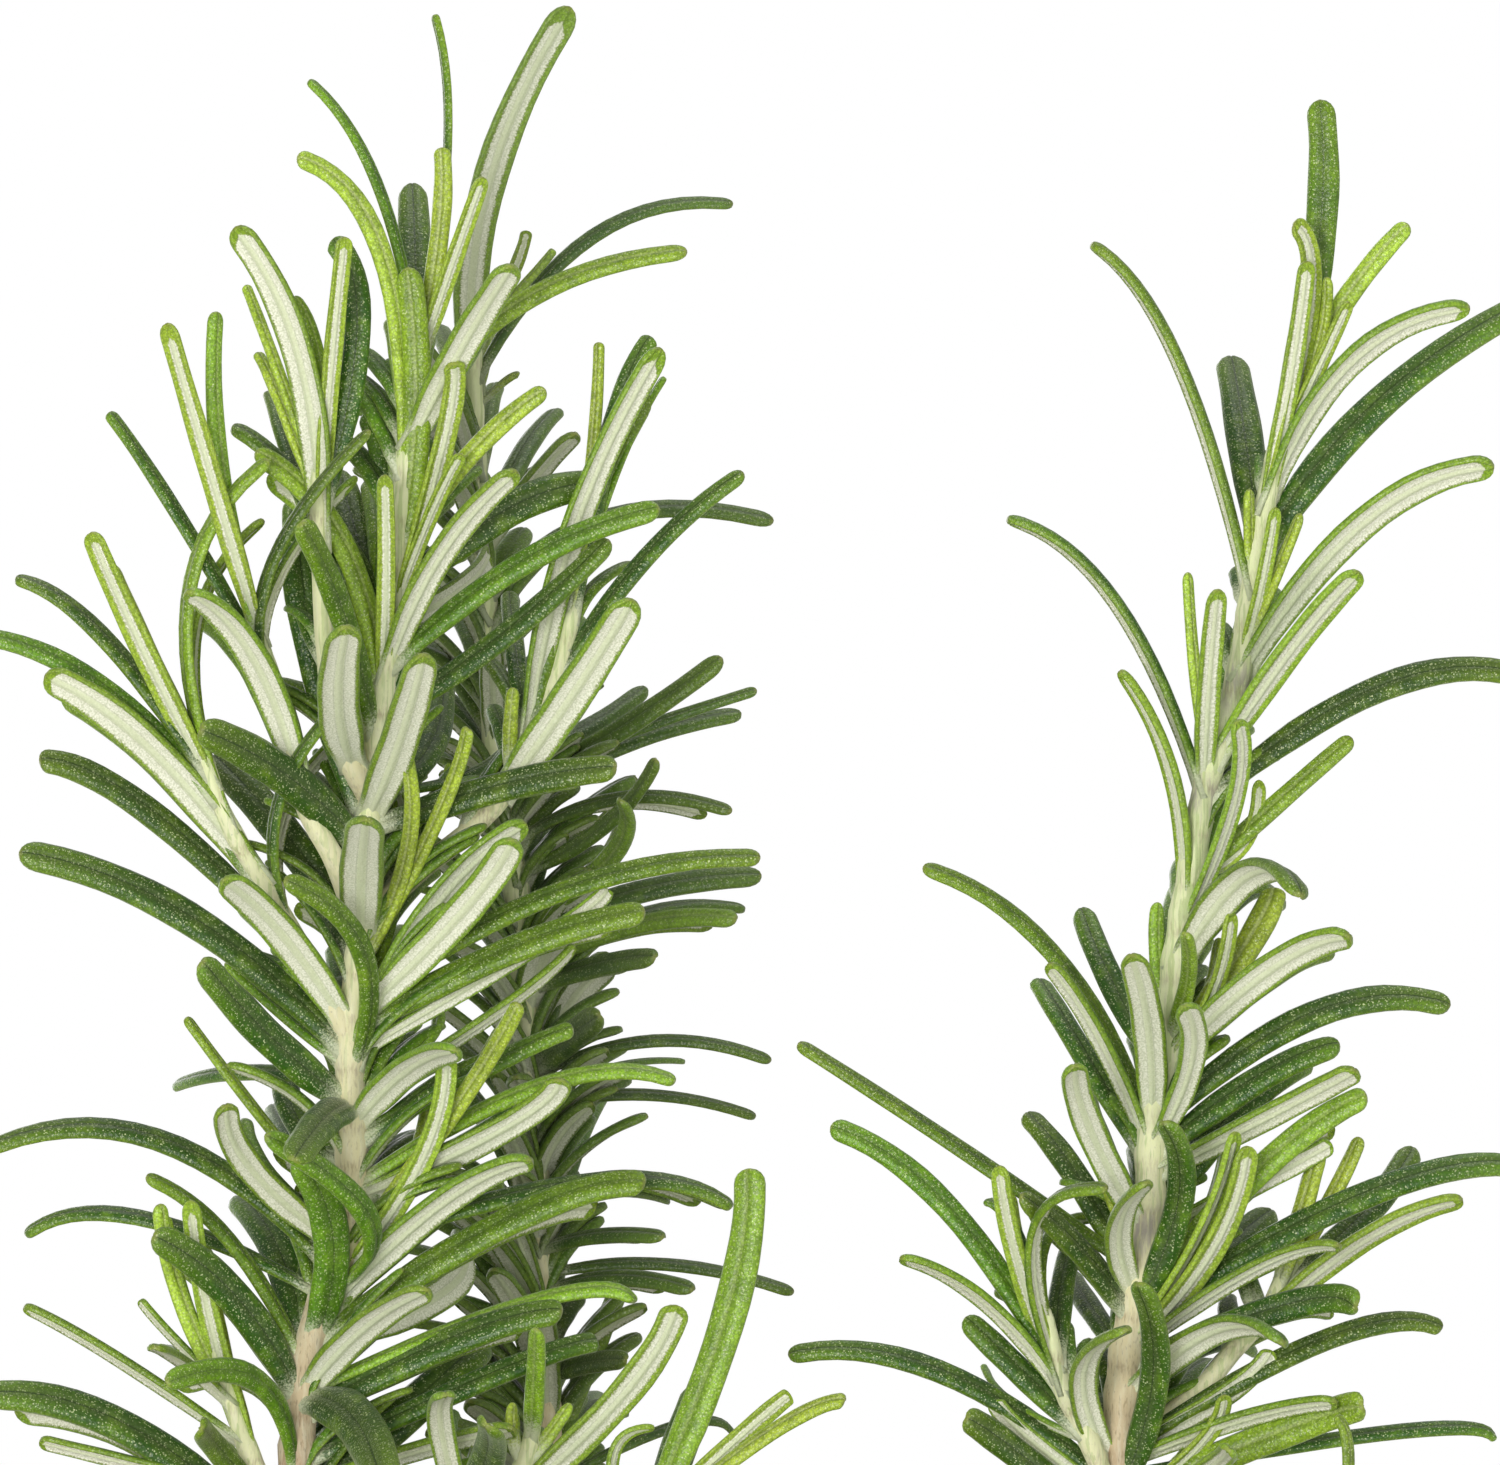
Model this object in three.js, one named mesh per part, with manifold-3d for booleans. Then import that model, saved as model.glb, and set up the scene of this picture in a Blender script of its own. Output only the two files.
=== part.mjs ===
// A rosemary plant in a plain clay pot. Millimetres, +Z up, origin at the centre of the pot's base.
// Woody shoots stand in holes in the soil. Each shoot is one body with its side branches and needle leaves.

import * as THREE from 'three';
import { mergeVertices } from 'three/addons/utils/BufferGeometryUtils.js';
import Module from 'manifold-3d';

// ---- driving dimensions ----
const GAP = 0.3; // between bodies that touch

const POT_HEIGHT = 112;
const POT_BASE_RADIUS = 44;
const POT_TOP_RADIUS = 60; // of the wall, just under the rim band
const RIM_RADIUS = 65;
const RIM_HEIGHT = 24;
const RIM_STEP = 1.5; // how far the band narrows towards its lower edge
const POT_WALL = 5;
const POT_FLOOR = 7;
const POT_SIDES = 32;
const EDGE_ROUNDING = 2;
const DRAIN_HOLE_RADIUS = 4;
const DRAIN_HOLE_CIRCLE = 22;
const DRAIN_HOLES = 3;
const DRAIN_HOLE_SIDES = 12;

const SOIL_TOP = 100;
const SOIL_BUMP = 1.6;
const SOIL_EDGE = 1.5; // how far the soil drops at the pot's wall
const STEM_HOLE_DEPTH = 22;
const STEM_HOLE_SIDES = 8;

const STEM_SIDES = 6;
const STEM_STEP = 12; // between the rings of a stem

const LEAF_LENGTH = 24; // of a full-grown leaf
const LEAF_THICKNESS = 0.34; // of its width
const LEAF_MIN_THICKNESS = 0.8;
const LEAF_MIN_WIDTH = 1.4; // thinner young leaves are left out of the solid
const YOUNG_STRETCH = 1.08; // true length of a young leaf over its length in the front view
const MID_DEPTH = 0.42; // share of the tip's lean that a leaf has reached half way along
const SHORTENED = [1, 0.8, 0.62, 0.45]; // lengths tried for a leaf that would cross another shoot

// Ages of a leaf, which also set its colour.
const DARK = 0, MID = 1, FRESH = 2, YOUNG = 3;

// ---- shoots ----
// The straight foot of an axis, from the bottom of its hole to just above the soil.
const foot = (x, y) => [SOIL_TOP - STEM_HOLE_DEPTH, SOIL_TOP - 2, SOIL_TOP + 4].map((z) => [x, y, z]);

// Each axis is a list of points [x, y, z] from the soil upwards, and radii gives its foot and its top.
// leaves are the ones seen from the front, each
//   [root height, middle x, middle z, tip x, tip z, lean, width, turn, age]:
// lean is -1 towards the front to +1 away from it, and turn is the angle between the leaf's upper face
// and the direction to the front: 0 shows the upper face, 90 the edge and 180 the pale underside.
const LEFT = {
  name: 'shoot_left',
  axes: {
    main: { radii: [2.1, 0.75], points: [
      ...foot(-19, -5), [-24, -4.6, 116], [-30.5, -3, 140], [-35, -1, 162], [-34.9, 0, 180],
      [-33.6, 0.4, 190.4], [-30.8, 0.2, 198.8], [-30.3, 0, 205.4], [-30.4, -0.2, 211.3], [-30.3, 0, 216.3],
      [-29.4, 0.3, 224.6], [-28.8, 0.4, 235.4], [-27.6, 0.2, 245.4], [-26.6, 0, 255.4], [-25.6, 0, 264.6],
      [-24.2, 0.2, 275.5]] },
    low: { radii: [1, 0.6], points: [
      [-30.3, 0, 215.5], [-34.6, -1, 223.3], [-37.5, -1.8, 228.3], [-40, -2.4, 232.5], [-41.7, -2.8, 236.3],
      [-42.5, -3, 239.5]] },
    side: { radii: [1, 0.6], points: [
      [-29.5, 0.3, 224.5], [-31.7, -1.4, 230.4], [-33.8, -2.4, 234.2], [-34.8, -3, 237.9],
      [-35.8, -3.4, 242.1], [-37.1, -3.8, 246.3], [-38.1, -4, 249.8]] },
    upper: { radii: [1, 0.6], points: [
      [-28.8, 0.4, 235.6], [-30.3, -0.8, 238.8], [-31.7, -1.6, 243.8], [-32.5, -2, 248.8],
      [-32.9, -2.2, 255.4], [-33.1, -2.4, 263]] },
    right: { radii: [1, 0.6], points: [
      [-29.4, 0.3, 225], [-24.6, 1.6, 229.6], [-20.4, 2.6, 232.9], [-17.5, 3.2, 236.3],
      [-15.4, 3.6, 240.4], [-13.3, 3.8, 245.4], [-11.7, 4, 251.5]] },
    lowest: { radii: [1, 0.6], points: [
      [-35.2, -0.6, 171], [-37.5, -1.4, 177.9], [-39.2, -2, 182.1], [-40.6, -2.4, 186.3],
      [-41.7, -2.6, 190]] },
    inner: { radii: [1, 0.6], points: [
      [-35.2, -0.8, 165], [-27, -4, 169.5], [-20, -5.6, 174.4], [-16, -6.2, 180], [-14.6, -6.6, 187]] },
  },
  leaves: {
    main: [
      [272, -22.3, 289.3, -23.4, 300.9, 0.5, 1.4, 80, MID],
      [272, -28.1, 286.7, -33.9, 295.4, 0.4, 1.5, 60, MID],
      [262, -27.7, 280.9, -34.8, 288.9, -0.15, 1.9, 30, YOUNG],
      [270, -25, 279.2, -25.3, 286.8, 0.6, 2.8, 10, DARK],
      [255, -24.9, 267.1, -25.6, 279.8, -0.15, 2.6, 15, FRESH],
      [273, -22.9, 283.2, -22.8, 289.8, 0, 1.7, 20, YOUNG],
      [272, -21.9, 280, -19.3, 287.3, -0.3, 1.7, 150, YOUNG],
      [264.5, -21, 273.3, -16.9, 279.8, -0.7, 3.1, 152, MID],
      [268, -15.4, 277.3, -2.3, 281.1, -0.1, 2, 35, FRESH],
      [249, -22.6, 265.1, -21.8, 271.7, -0.3, 2.1, 140, YOUNG],
      [250, -23.8, 258.8, -21.1, 264.2, -0.4, 1.4, 150, YOUNG],
      [256, -20.4, 264.2, -14.1, 269.6, -0.1, 1.9, 30, YOUNG],
      [245, -23.1, 255.4, -16.5, 262.8, -0.5, 2.9, 135, MID],
      [252, -17, 259.7, -9, 261.6, 0.1, 3, 20, DARK],
      [246, -16.3, 255, -4.6, 259.7, -0.2, 2.4, 40, MID],
      [242, -17.5, 249.2, -8.8, 257.1, 0, 2.4, 40, DARK],
      [250, -21.3, 252.9, -19, 256, 0.5, 2.4, 150, DARK],
      [234, -26.4, 240, -24.2, 247.5, -0.9, 3.5, 162, MID],
      [236, -23.9, 239.6, -22.9, 246.3, 0.6, 2.5, 10, DARK],
      [221, -25.6, 231.3, -26.1, 240.4, -0.5, 1.5, 20, YOUNG],
      [221, -23.1, 234, -20.6, 241.4, -0.45, 1.5, 25, YOUNG],
      [233, -17.1, 236.7, -8.2, 238.1, -0.3, 2.8, 30, DARK],
      [236, -21.7, 237.1, -17.5, 239.6, 0.3, 1.4, 60, DARK],
      [247, -33.8, 260.3, -40.3, 266.5, 0.1, 2.4, 45, DARK],
      [243, -30.8, 256.4, -38.3, 264.4, -0.4, 2.5, 40, FRESH],
      [247, -29.4, 255.4, -31.7, 262.9, 0.5, 3.2, 10, DARK],
      [224, -29.4, 229.4, -28.9, 233.8, -0.8, 3.7, 178, DARK],
      [213, -23.9, 225.8, -15.7, 233.5, -0.4, 3.2, 140, MID],
      [217, -21.3, 225.8, -16.8, 232.1, -0.5, 3.1, 165, MID],
      [219, -27.1, 226.7, -26.4, 236.3, 0.3, 1.9, 15, FRESH],
      [212, -29.2, 222.5, -35.8, 228.8, -0.5, 2.1, 30, MID],
      [216, -35.9, 224.1, -40.8, 228.8, -0.5, 3, 165, MID],
      [214, -43.8, 225.6, -58, 231, -0.1, 3, 35, DARK],
      [231, -35.6, 237.3, -42.8, 241.3, -0.6, 3.3, 20, DARK],
      [210, -37.2, 215.7, -42.7, 222, -0.5, 3, 25, DARK],
      [213, -35.8, 217.3, -40.8, 221.9, 0, 1.5, 70, MID],
      [200, -38.3, 209.6, -44.1, 217.3, 0, 1.4, 60, FRESH],
      [212, -39.1, 212.7, -45.1, 211.5, 0.7, 1.9, 60, DARK],
      [196, -46.3, 207.1, -61.1, 206.1, 0, 2.4, 40, DARK],
      [198, -38.6, 204.7, -40.6, 210, -0.4, 2.5, 165, MID],
      [209.6, -32.3, 209, -35, 205.5, -0.6, 3.1, 10, DARK],
      [205, -35, 207.5, -36.9, 209.8, 0.5, 2.1, 30, DARK],
      [203, -35.3, 209.6, -35.4, 214.6, 0.5, 2.4, 20, DARK],
      [194.5, -28.7, 200.3, -37.4, 207.6, -0.5, 2.3, 40, MID],
      [208, -25.7, 212.9, -21.5, 214.6, -0.5, 3.1, 140, MID],
      [210, -23.6, 215.7, -24.7, 218.7, 0.2, 1.4, 60, FRESH],
      [194, -24.6, 205, -22.4, 214.2, -0.6, 2.1, 150, YOUNG],
      [197, -21.7, 209.6, -16.3, 218.5, -0.5, 1.7, 30, YOUNG],
      [207, -18.8, 213.3, -11.8, 216.4, 0, 2.1, 40, MID],
      [202, -17.5, 208.1, -12.9, 212.1, -0.2, 2.8, 150, MID],
      [206, -25, 210.4, -21.3, 212.9, 0, 2, 50, DARK],
      [218, -12.9, 227.8, 3.8, 230.6, 0, 2.1, 40, MID],
      [216, -17.1, 222.9, -5.8, 226.1, -0.3, 2.8, 35, MID],
      [214, -14.2, 223.8, -9.1, 228, 0.2, 1.8, 150, MID],
      [210, -17.9, 217.9, -11.7, 223.3, 0.1, 2, 120, MID],
      [203, -14.2, 211.7, -3.3, 211.9, 0, 2, 50, FRESH],
      [192, -22.9, 201.7, -15.3, 205.4, -0.5, 3.3, 140, MID],
      [190, -16.7, 200.6, -5.8, 203.5, -0.4, 3, 35, MID],
      [198, -10.2, 203.6, 1.4, 201.4, 0.1, 2.3, 50, DARK],
      [186, -14.6, 193.8, -6.8, 193.5, -0.1, 2, 60, FRESH],
      [184, -21.3, 190.6, -12.7, 192.8, -0.4, 3.1, 35, DARK],
      [180, -17.5, 187.9, -9.9, 190.2, 0.3, 2.3, 35, DARK],
      [185.5, -29.4, 191.3, -23.9, 194.7, -0.6, 3, 150, MID],
      [185.3, -30, 183.9, -27.2, 177.8, -0.8, 4, 10, DARK],
      [178, -23.5, 181.6, -16.8, 183.1, -0.5, 2.6, 120, MID],
      [172, -48.8, 183, -60.9, 185.8, -0.2, 3.3, 35, DARK],
      [185, -39.8, 193.8, -46.7, 199.2, -0.5, 3.1, 25, DARK],
      [188, -40.4, 198.7, -47.4, 204, -0.1, 2.1, 60, MID],
      [194, -47.9, 200.6, -57.5, 199.1, 0.5, 2, 60, DARK],
      [178, -37.8, 186.9, -45.6, 187, -0.6, 2.2, 30, MID],
      [189.5, -31.9, 198.6, -34.8, 205.8, -0.3, 3.2, 15, MID],
      [189, -36.4, 197.7, -40, 202.1, 0.6, 3.2, 20, DARK],
    ],
    low: [
      [232.5, -44, 251.4, -37.1, 263.7, -0.2, 2.1, 70, FRESH],
      [237, -51.1, 249.2, -58.3, 253.8, 0.1, 2.1, 45, DARK],
      [236, -47.8, 248.4, -51.9, 257.7, -0.2, 2.3, 150, YOUNG],
      [235, -51.3, 245.1, -61.4, 249.1, 0, 2.1, 40, MID],
      [228, -46.9, 239.6, -55.8, 245.8, -0.4, 3.3, 150, MID],
      [222, -47.4, 234.7, -56.3, 238.7, -0.1, 2.7, 40, DARK],
      [224, -36.5, 234.7, -30.2, 244.2, -0.2, 1.6, 60, DARK],
    ],
    side: [
      [248, -41.7, 261.7, -45.6, 275.1, -0.2, 2, 160, YOUNG],
      [248, -41.1, 262.9, -41.5, 276.1, 0, 1.8, 40, FRESH],
      [242, -37.5, 253.4, -28.7, 266.2, -0.3, 1.7, 60, DARK],
      [236, -38.4, 247.3, -43.8, 252.7, -0.5, 3.1, 155, MID],
      [246, -44.9, 259.5, -50.5, 267.7, 0.3, 1.6, 45, DARK],
    ],
    upper: [
      [256, -34.5, 271.9, -40, 283.1, -0.3, 2.9, 150, MID],
      [261, -33, 271.3, -35.2, 277.3, 0, 1.8, 40, FRESH],
      [258, -31.9, 271.7, -30.8, 282.3, -0.1, 1.7, 150, YOUNG],
      [259, -29.8, 274.3, -31.9, 282.1, 0.3, 2.3, 10, DARK],
      [262, -36.7, 272.1, -39.1, 278.3, 0.3, 1.1, 30, YOUNG],
      [260, -36.3, 268.8, -38.1, 272.6, 0.3, 1.2, 30, YOUNG],
      [256, -35.6, 264.6, -37.1, 269.3, 0.4, 1.8, 40, DARK],
      [246, -34.6, 252.9, -35.3, 260.4, 0.4, 1.9, 20, DARK],
      [238, -31.3, 243.3, -30.6, 249.8, -0.9, 3.6, 178, MID],
    ],
    right: [
      [245, -5.9, 255.5, 2.4, 262.7, 0, 1.9, 40, DARK],
      [235.5, -11.9, 244.2, -6.9, 252.1, -0.5, 3.5, 160, MID],
      [240, -11.9, 257.5, -4.5, 273.1, -0.2, 2.9, 145, MID],
      [250, -8.6, 266.3, -5.3, 274, 0.3, 2, 15, DARK],
      [250, -10.3, 263.8, -9.7, 273.6, 0, 1.2, 30, YOUNG],
      [250, -8.5, 262.1, -4.2, 270.7, 0.2, 1.1, 60, MID],
      [237, -17.1, 240.8, -16.8, 244.8, -0.4, 1.3, 20, YOUNG],
      [240, -16.7, 247.9, -17.2, 252.7, 0.4, 1.7, 20, DARK],
    ],
    lowest: [
      [181.5, -50, 189, -57.6, 193.2, 0, 2.3, 112, MID],
      [177.5, -48.8, 180.2, -56.3, 182, 0, 2.2, 115, MID],
      [184.5, -44.4, 193.8, -46.2, 201.8, -0.2, 1.8, 40, YOUNG],
      [179, -41.7, 190.8, -43.6, 202.1, -0.2, 2.1, 150, YOUNG],
      [186, -45.3, 190.8, -47.9, 193.8, 0, 1.5, 110, MID],
      [185, -44.2, 188.6, -46.5, 189.9, -0.4, 2, 120, MID],
      [176, -41.3, 181.3, -42.7, 183.2, -0.3, 2.4, 30, MID],
    ],
    inner: [
      [182, -15, 186.3, -14.8, 191.5, -0.2, 1.8, 20, FRESH],
      [180, -16.8, 182.5, -16.8, 185.3, -0.2, 1.2, 30, YOUNG],
      [180, -14.2, 182.1, -12, 185.2, 0, 1.4, 30, YOUNG],
      [174, -22.7, 182.9, -22.3, 186, -0.4, 2.3, 170, MID],
      [172, -19.1, 180, -18.9, 183.6, -0.7, 3.1, 15, DARK],
      [175, -8, 185.5, -3.2, 193.4, -0.1, 2.9, 150, FRESH],
    ],
  },
  lower: { axis: 'main', from: 113, to: 174, step: 14, seed: 11 },
};

const BACK = {
  name: 'shoot_back',
  axes: {
    main: { radii: [1.9, 0.7], points: [
      ...foot(-6, 15), [-8.4, 18, 120], [-11.6, 23, 150], [-14, 26, 180], [-14.8, 27, 195],
      [-15.4, 27.8, 209], [-16.1, 28, 222], [-17.2, 28, 232], [-18.6, 28, 241], [-19.2, 27.6, 252],
      [-20.1, 27, 266], [-20.4, 26.6, 276]] },
  },
  leaves: {
    main: [
      [269, -19.3, 285.8, -12.1, 301.8, -0.15, 3, 165, FRESH],
      [270, -10.6, 282.4, 1.5, 285.3, 0.2, 1.6, 50, DARK],
      [273, -17.1, 279.2, -15.8, 283.1, 0, 1.2, 150, YOUNG],
      [274, -15.8, 278.8, -13.5, 281.5, 0, 1.1, 60, YOUNG],
      [268, -17.7, 270.4, -16.4, 271, 0, 0.9, 60, YOUNG],
      [256, -15.5, 261.8, -11.7, 266, -0.2, 2.5, 120, MID],
      [252, -9, 259.1, 4.9, 258.7, 0, 2, 50, DARK],
      [236, -8.6, 240.9, 0.6, 247.3, -0.1, 2.2, 40, MID],
      [237, -7.4, 241, 3.5, 244.6, 0, 1.2, 40, DARK],
      [235, -7.8, 240.1, 2.2, 242.6, 0.1, 2.2, 40, DARK],
      [239, -12.1, 240.8, -5.8, 244.8, 0.2, 2, 60, DARK],
      [229, -9.3, 233.2, -4.9, 238.8, -0.2, 1.5, 30, MID],
      [231.5, -8.3, 235.5, 1.4, 234.4, -0.2, 1.5, 50, DARK],
      [225, -8.6, 230.8, -7.9, 235.4, -0.3, 1.8, 20, FRESH],
      [224, -6.4, 227.7, 3.9, 229, 0, 2.5, 50, DARK],
      [221, -6.7, 224.9, 1.8, 225.4, -0.3, 2, 50, FRESH],
      [220, -6.7, 225.6, 2.5, 226.2, 0.2, 1.8, 50, DARK],
      [219.5, -9.9, 221.5, -5, 222.2, -0.2, 2.4, 50, DARK],
      [212.5, -12.5, 215.2, -9.6, 217.4, -0.2, 2.6, 20, DARK],
      [212, -5.4, 215.2, 4.7, 213.5, 0, 1.5, 60, DARK],
      [209.5, -6, 210.7, 3.4, 208.8, 0.1, 1.5, 60, DARK],
      [210, -9, 212.9, -2.6, 213.4, 0.3, 0.9, 60, MID],
      [202, -7, 203.8, 1.4, 201.4, -0.3, 1.7, 50, FRESH],
      [200, -9.6, 202.4, -3.9, 201.6, 0.2, 1.6, 60, DARK],
      [197.5, -9.8, 198.9, -4.3, 198.8, -0.2, 2.1, 60, DARK],
      [187, -10.9, 188.2, -7.4, 188.6, -0.2, 2, 40, DARK],
      [180, -10.6, 188.3, -7.7, 195.3, 0.2, 2, 20, FRESH],
      [195.5, -4.3, 196.5, 6.6, 194.1, 0, 1.6, 60, DARK],
      [194, -8.5, 195.4, -1.8, 194.4, -0.2, 2.1, 60, DARK],
      [178, -3.1, 183, 1.4, 182.2, 0.1, 1.4, 60, DARK],
    ],
  },
  lower: { axis: 'main', from: 113, to: 268, step: 11, seed: 23, hidden: true },
};

const RIGHT = {
  name: 'shoot_right',
  axes: {
    main: { radii: [2.1, 0.75], points: [
      ...foot(18, 2), [23.6, 1.8, 118], [30, 1, 143], [33.2, 0.3, 165], [33.6, 0, 180],
      [34.3, 0, 189.6], [36.1, 0.2, 199.6], [36.4, 0.3, 207.9], [37.5, 0.2, 215.4], [38.8, 0, 224.6],
      [40, 0, 231.3], [41, 0.1, 237.1], [43.3, 0.2, 244.6], [44.6, 0.1, 252.1], [45.6, 0, 258.8],
      [47.5, 0, 267.1], [49.2, 0.2, 275]] },
    left: { radii: [1, 0.6], points: [
      [33.4, 0.2, 172], [32.4, -1.4, 178.6], [31, -2.2, 182.4], [29.4, -2.8, 185.4], [28.3, -3.2, 188.8],
      [27.5, -3.4, 193]] },
    right: { radii: [1, 0.6], points: [
      [33.8, 0, 181], [40, 2, 185.8], [43.3, 2.8, 189.6], [46.3, 3.4, 193.3], [47.9, 3.6, 197]] },
  },
  leaves: {
    main: [
      [270, 50.5, 283, 50.4, 293.8, 0.2, 2.7, 10, MID],
      [252, 38.5, 272.1, 31.3, 281.7, 0, 3, 103, MID],
      [257, 44.1, 266.2, 43.1, 272.3, 0.6, 3.1, 5, DARK],
      [259, 49.5, 276.2, 48.2, 283.3, -0.2, 2.1, 130, YOUNG],
      [258, 47.9, 270.3, 49.3, 280.3, -0.3, 1.8, 160, FRESH],
      [269, 50.3, 273.3, 51, 279, -0.2, 1.2, 20, YOUNG],
      [264, 50, 270.8, 52.8, 276.9, -0.3, 1.5, 140, YOUNG],
      [270, 53.1, 277.9, 57.8, 283.4, 0, 1.9, 25, YOUNG],
      [259, 52.7, 271.6, 62.9, 276.4, -0.2, 3.1, 124, MID],
      [255, 54.5, 267.7, 68.1, 277, 0.2, 3.3, 30, DARK],
      [245, 54, 258.5, 64.9, 263.2, -0.3, 3.3, 135, MID],
      [253, 44.6, 257.1, 44.5, 261.3, -0.2, 1.2, 30, YOUNG],
      [248, 46.4, 253.3, 48.8, 259.3, -0.2, 1.5, 60, YOUNG],
      [246, 45.3, 252.1, 46.7, 259.8, -0.3, 1.5, 150, YOUNG],
      [235.5, 33.4, 251.8, 24.3, 258.8, 0, 3, 103, DARK],
      [238, 40.1, 245.4, 39.4, 254.4, 0, 1.2, 30, YOUNG],
      [236, 41.1, 244.6, 41.8, 252.9, -0.4, 2.1, 160, FRESH],
      [238, 48, 248, 53.6, 254.4, -0.2, 3.1, 130, FRESH],
      [235, 55.3, 244.7, 67.1, 245.8, 0.1, 2.5, 30, DARK],
      [228.5, 47, 235.3, 53.1, 240.6, 0, 1.9, 35, FRESH],
      [226, 38.1, 237.3, 33.7, 246.2, -0.1, 2.6, 115, FRESH],
      [224, 43.2, 235.1, 43.4, 241.9, -0.3, 2.2, 130, FRESH],
      [229, 44, 231.7, 45.3, 237.1, 0, 1.4, 150, YOUNG],
      [221, 44.4, 229.2, 48.6, 227.4, -0.6, 3.3, 150, DARK],
      [213, 44.2, 223, 46.6, 228, 0.1, 2.6, 35, YOUNG],
      [213, 41.3, 218.8, 43, 226.1, -0.3, 1.7, 130, YOUNG],
      [215, 39.3, 220, 39.1, 224.4, -0.3, 1.5, 20, FRESH],
      [213, 46.4, 221.4, 52.8, 224, -0.3, 3.1, 150, MID],
      [208, 28.2, 222.6, 17.3, 229.8, -0.1, 2.1, 50, MID],
      [213, 33.1, 220.2, 30.6, 226.3, 0.3, 2.3, 15, DARK],
      [217, 36.9, 222.1, 36.9, 226.9, 0, 1.5, 30, FRESH],
      [208, 36.1, 216.3, 34.6, 222.5, -0.5, 2.8, 168, MID],
      [206, 32.1, 215.4, 27.8, 221.8, -0.1, 2.5, 115, MID],
      [205, 30.3, 215, 27, 220.3, 0.4, 2.4, 40, DARK],
      [206, 39.6, 213.5, 39, 218.3, -0.4, 2.6, 150, MID],
      [208, 49.8, 217.5, 61.3, 218.2, 0.1, 2.6, 30, DARK],
      [205.5, 45.2, 212.1, 52.1, 215, 0, 2.9, 40, DARK],
      [204, 47.1, 209.6, 53.3, 212.9, -0.2, 2.9, 130, MID],
      [193, 45.8, 205, 54.3, 210.8, -0.3, 2.6, 25, FRESH],
      [199, 45.8, 203.8, 51.4, 206.8, 0, 2.1, 150, MID],
      [190, 40.4, 199.2, 43.3, 207.8, -0.5, 2.1, 110, YOUNG],
      [189.5, 41.4, 197.9, 44.3, 206.6, -0.5, 2.6, 140, YOUNG],
      [192, 38.7, 202.2, 37.3, 208.7, -0.4, 2.5, 20, DARK],
      [194, 33.6, 199.6, 35.9, 203.6, -0.5, 2.6, 150, MID],
      [198, 33.1, 202.1, 32.9, 205.7, -0.2, 1.2, 30, YOUNG],
      [196, 20.4, 206.4, 6.9, 215.1, 0.2, 1.9, 50, MID],
      [192, 30.8, 197.5, 25.4, 202.5, -0.2, 2.5, 35, DARK],
      [178, 18.8, 187.8, 6.1, 189.1, 0.1, 2.2, 35, DARK],
      [174, 25.4, 180.8, 20.9, 184, -0.1, 2.7, 30, DARK],
      [177, 26.3, 182.1, 23.3, 185.4, 0, 1.9, 150, MID],
      [179, 30.6, 187.4, 34.3, 191.4, -0.6, 2.6, 150, MID],
      [177, 36.6, 187.4, 35.2, 195.3, -0.5, 2.6, 15, DARK],
      [189, 45, 196.4, 51.9, 198.3, -0.3, 2.2, 125, MID],
      [192, 54.7, 202.7, 67.1, 204.8, 0.3, 2.6, 35, DARK],
      [188, 47.7, 193.3, 53.4, 193.3, -0.3, 2.6, 25, DARK],
      [185, 41.7, 191.3, 47.2, 190.2, -0.5, 3.1, 140, DARK],
      [181, 51, 190.5, 60.6, 191.3, 0.1, 2.1, 35, DARK],
      [180, 44.2, 183.9, 51.7, 185.3, -0.2, 2.4, 120, MID],
      [177, 47.5, 182.9, 53.9, 185, -0.5, 2.9, 25, FRESH],
      [179, 57, 182.8, 64.8, 182.2, 0.2, 1.7, 45, DARK],
      [176, 40.4, 181.7, 42.3, 185.8, -0.5, 1.8, 140, YOUNG],
      [175, 40.8, 179.6, 42.6, 181.4, -0.5, 2.1, 150, FRESH],
      [181, 42.5, 185.8, 46.3, 189.6, 0, 2, 160, MID],
      [199, 31.3, 207.9, 29.9, 213.3, -0.5, 2.6, 170, MID],
      [195, 30.3, 203.8, 26, 209.2, 0.2, 2.4, 20, DARK],
      [189, 31.4, 192.9, 29.6, 195.8, 0.4, 2.1, 30, DARK],
    ],
    left: [
      [186, 26.6, 199.3, 32.6, 203.1, -0.4, 2.3, 110, MID],
      [187.5, 25.3, 196.7, 23.7, 205, -0.2, 2, 150, YOUNG],
      [187, 19.6, 201.3, 9.6, 208.2, 0, 2.2, 30, MID],
      [185.5, 22.5, 193.6, 15.4, 197.3, -0.1, 2.4, 120, MID],
      [182.5, 25.4, 187.9, 20.8, 192.3, 0, 2.5, 35, DARK],
      [182, 25, 185, 22.5, 188.1, 0.2, 1.4, 100, MID],
      [190, 25, 199.6, 22.4, 201.7, 0, 1.4, 50, DARK],
      [188, 28.9, 194.6, 30.4, 200, 0.4, 2.2, 20, DARK],
    ],
    right: [
      [191, 54.2, 198.8, 62.3, 202.1, -0.1, 3, 125, FRESH],
      [195, 54.2, 200.8, 58.3, 206.3, 0.3, 2.5, 30, DARK],
      [195, 51.1, 201.7, 53.8, 207.3, 0, 1.7, 40, YOUNG],
      [194, 48.6, 200, 50.4, 206.4, -0.2, 1.9, 40, YOUNG],
    ],
  },
  lower: { axis: 'main', from: 113, to: 168, step: 14, seed: 37 },
};

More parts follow.
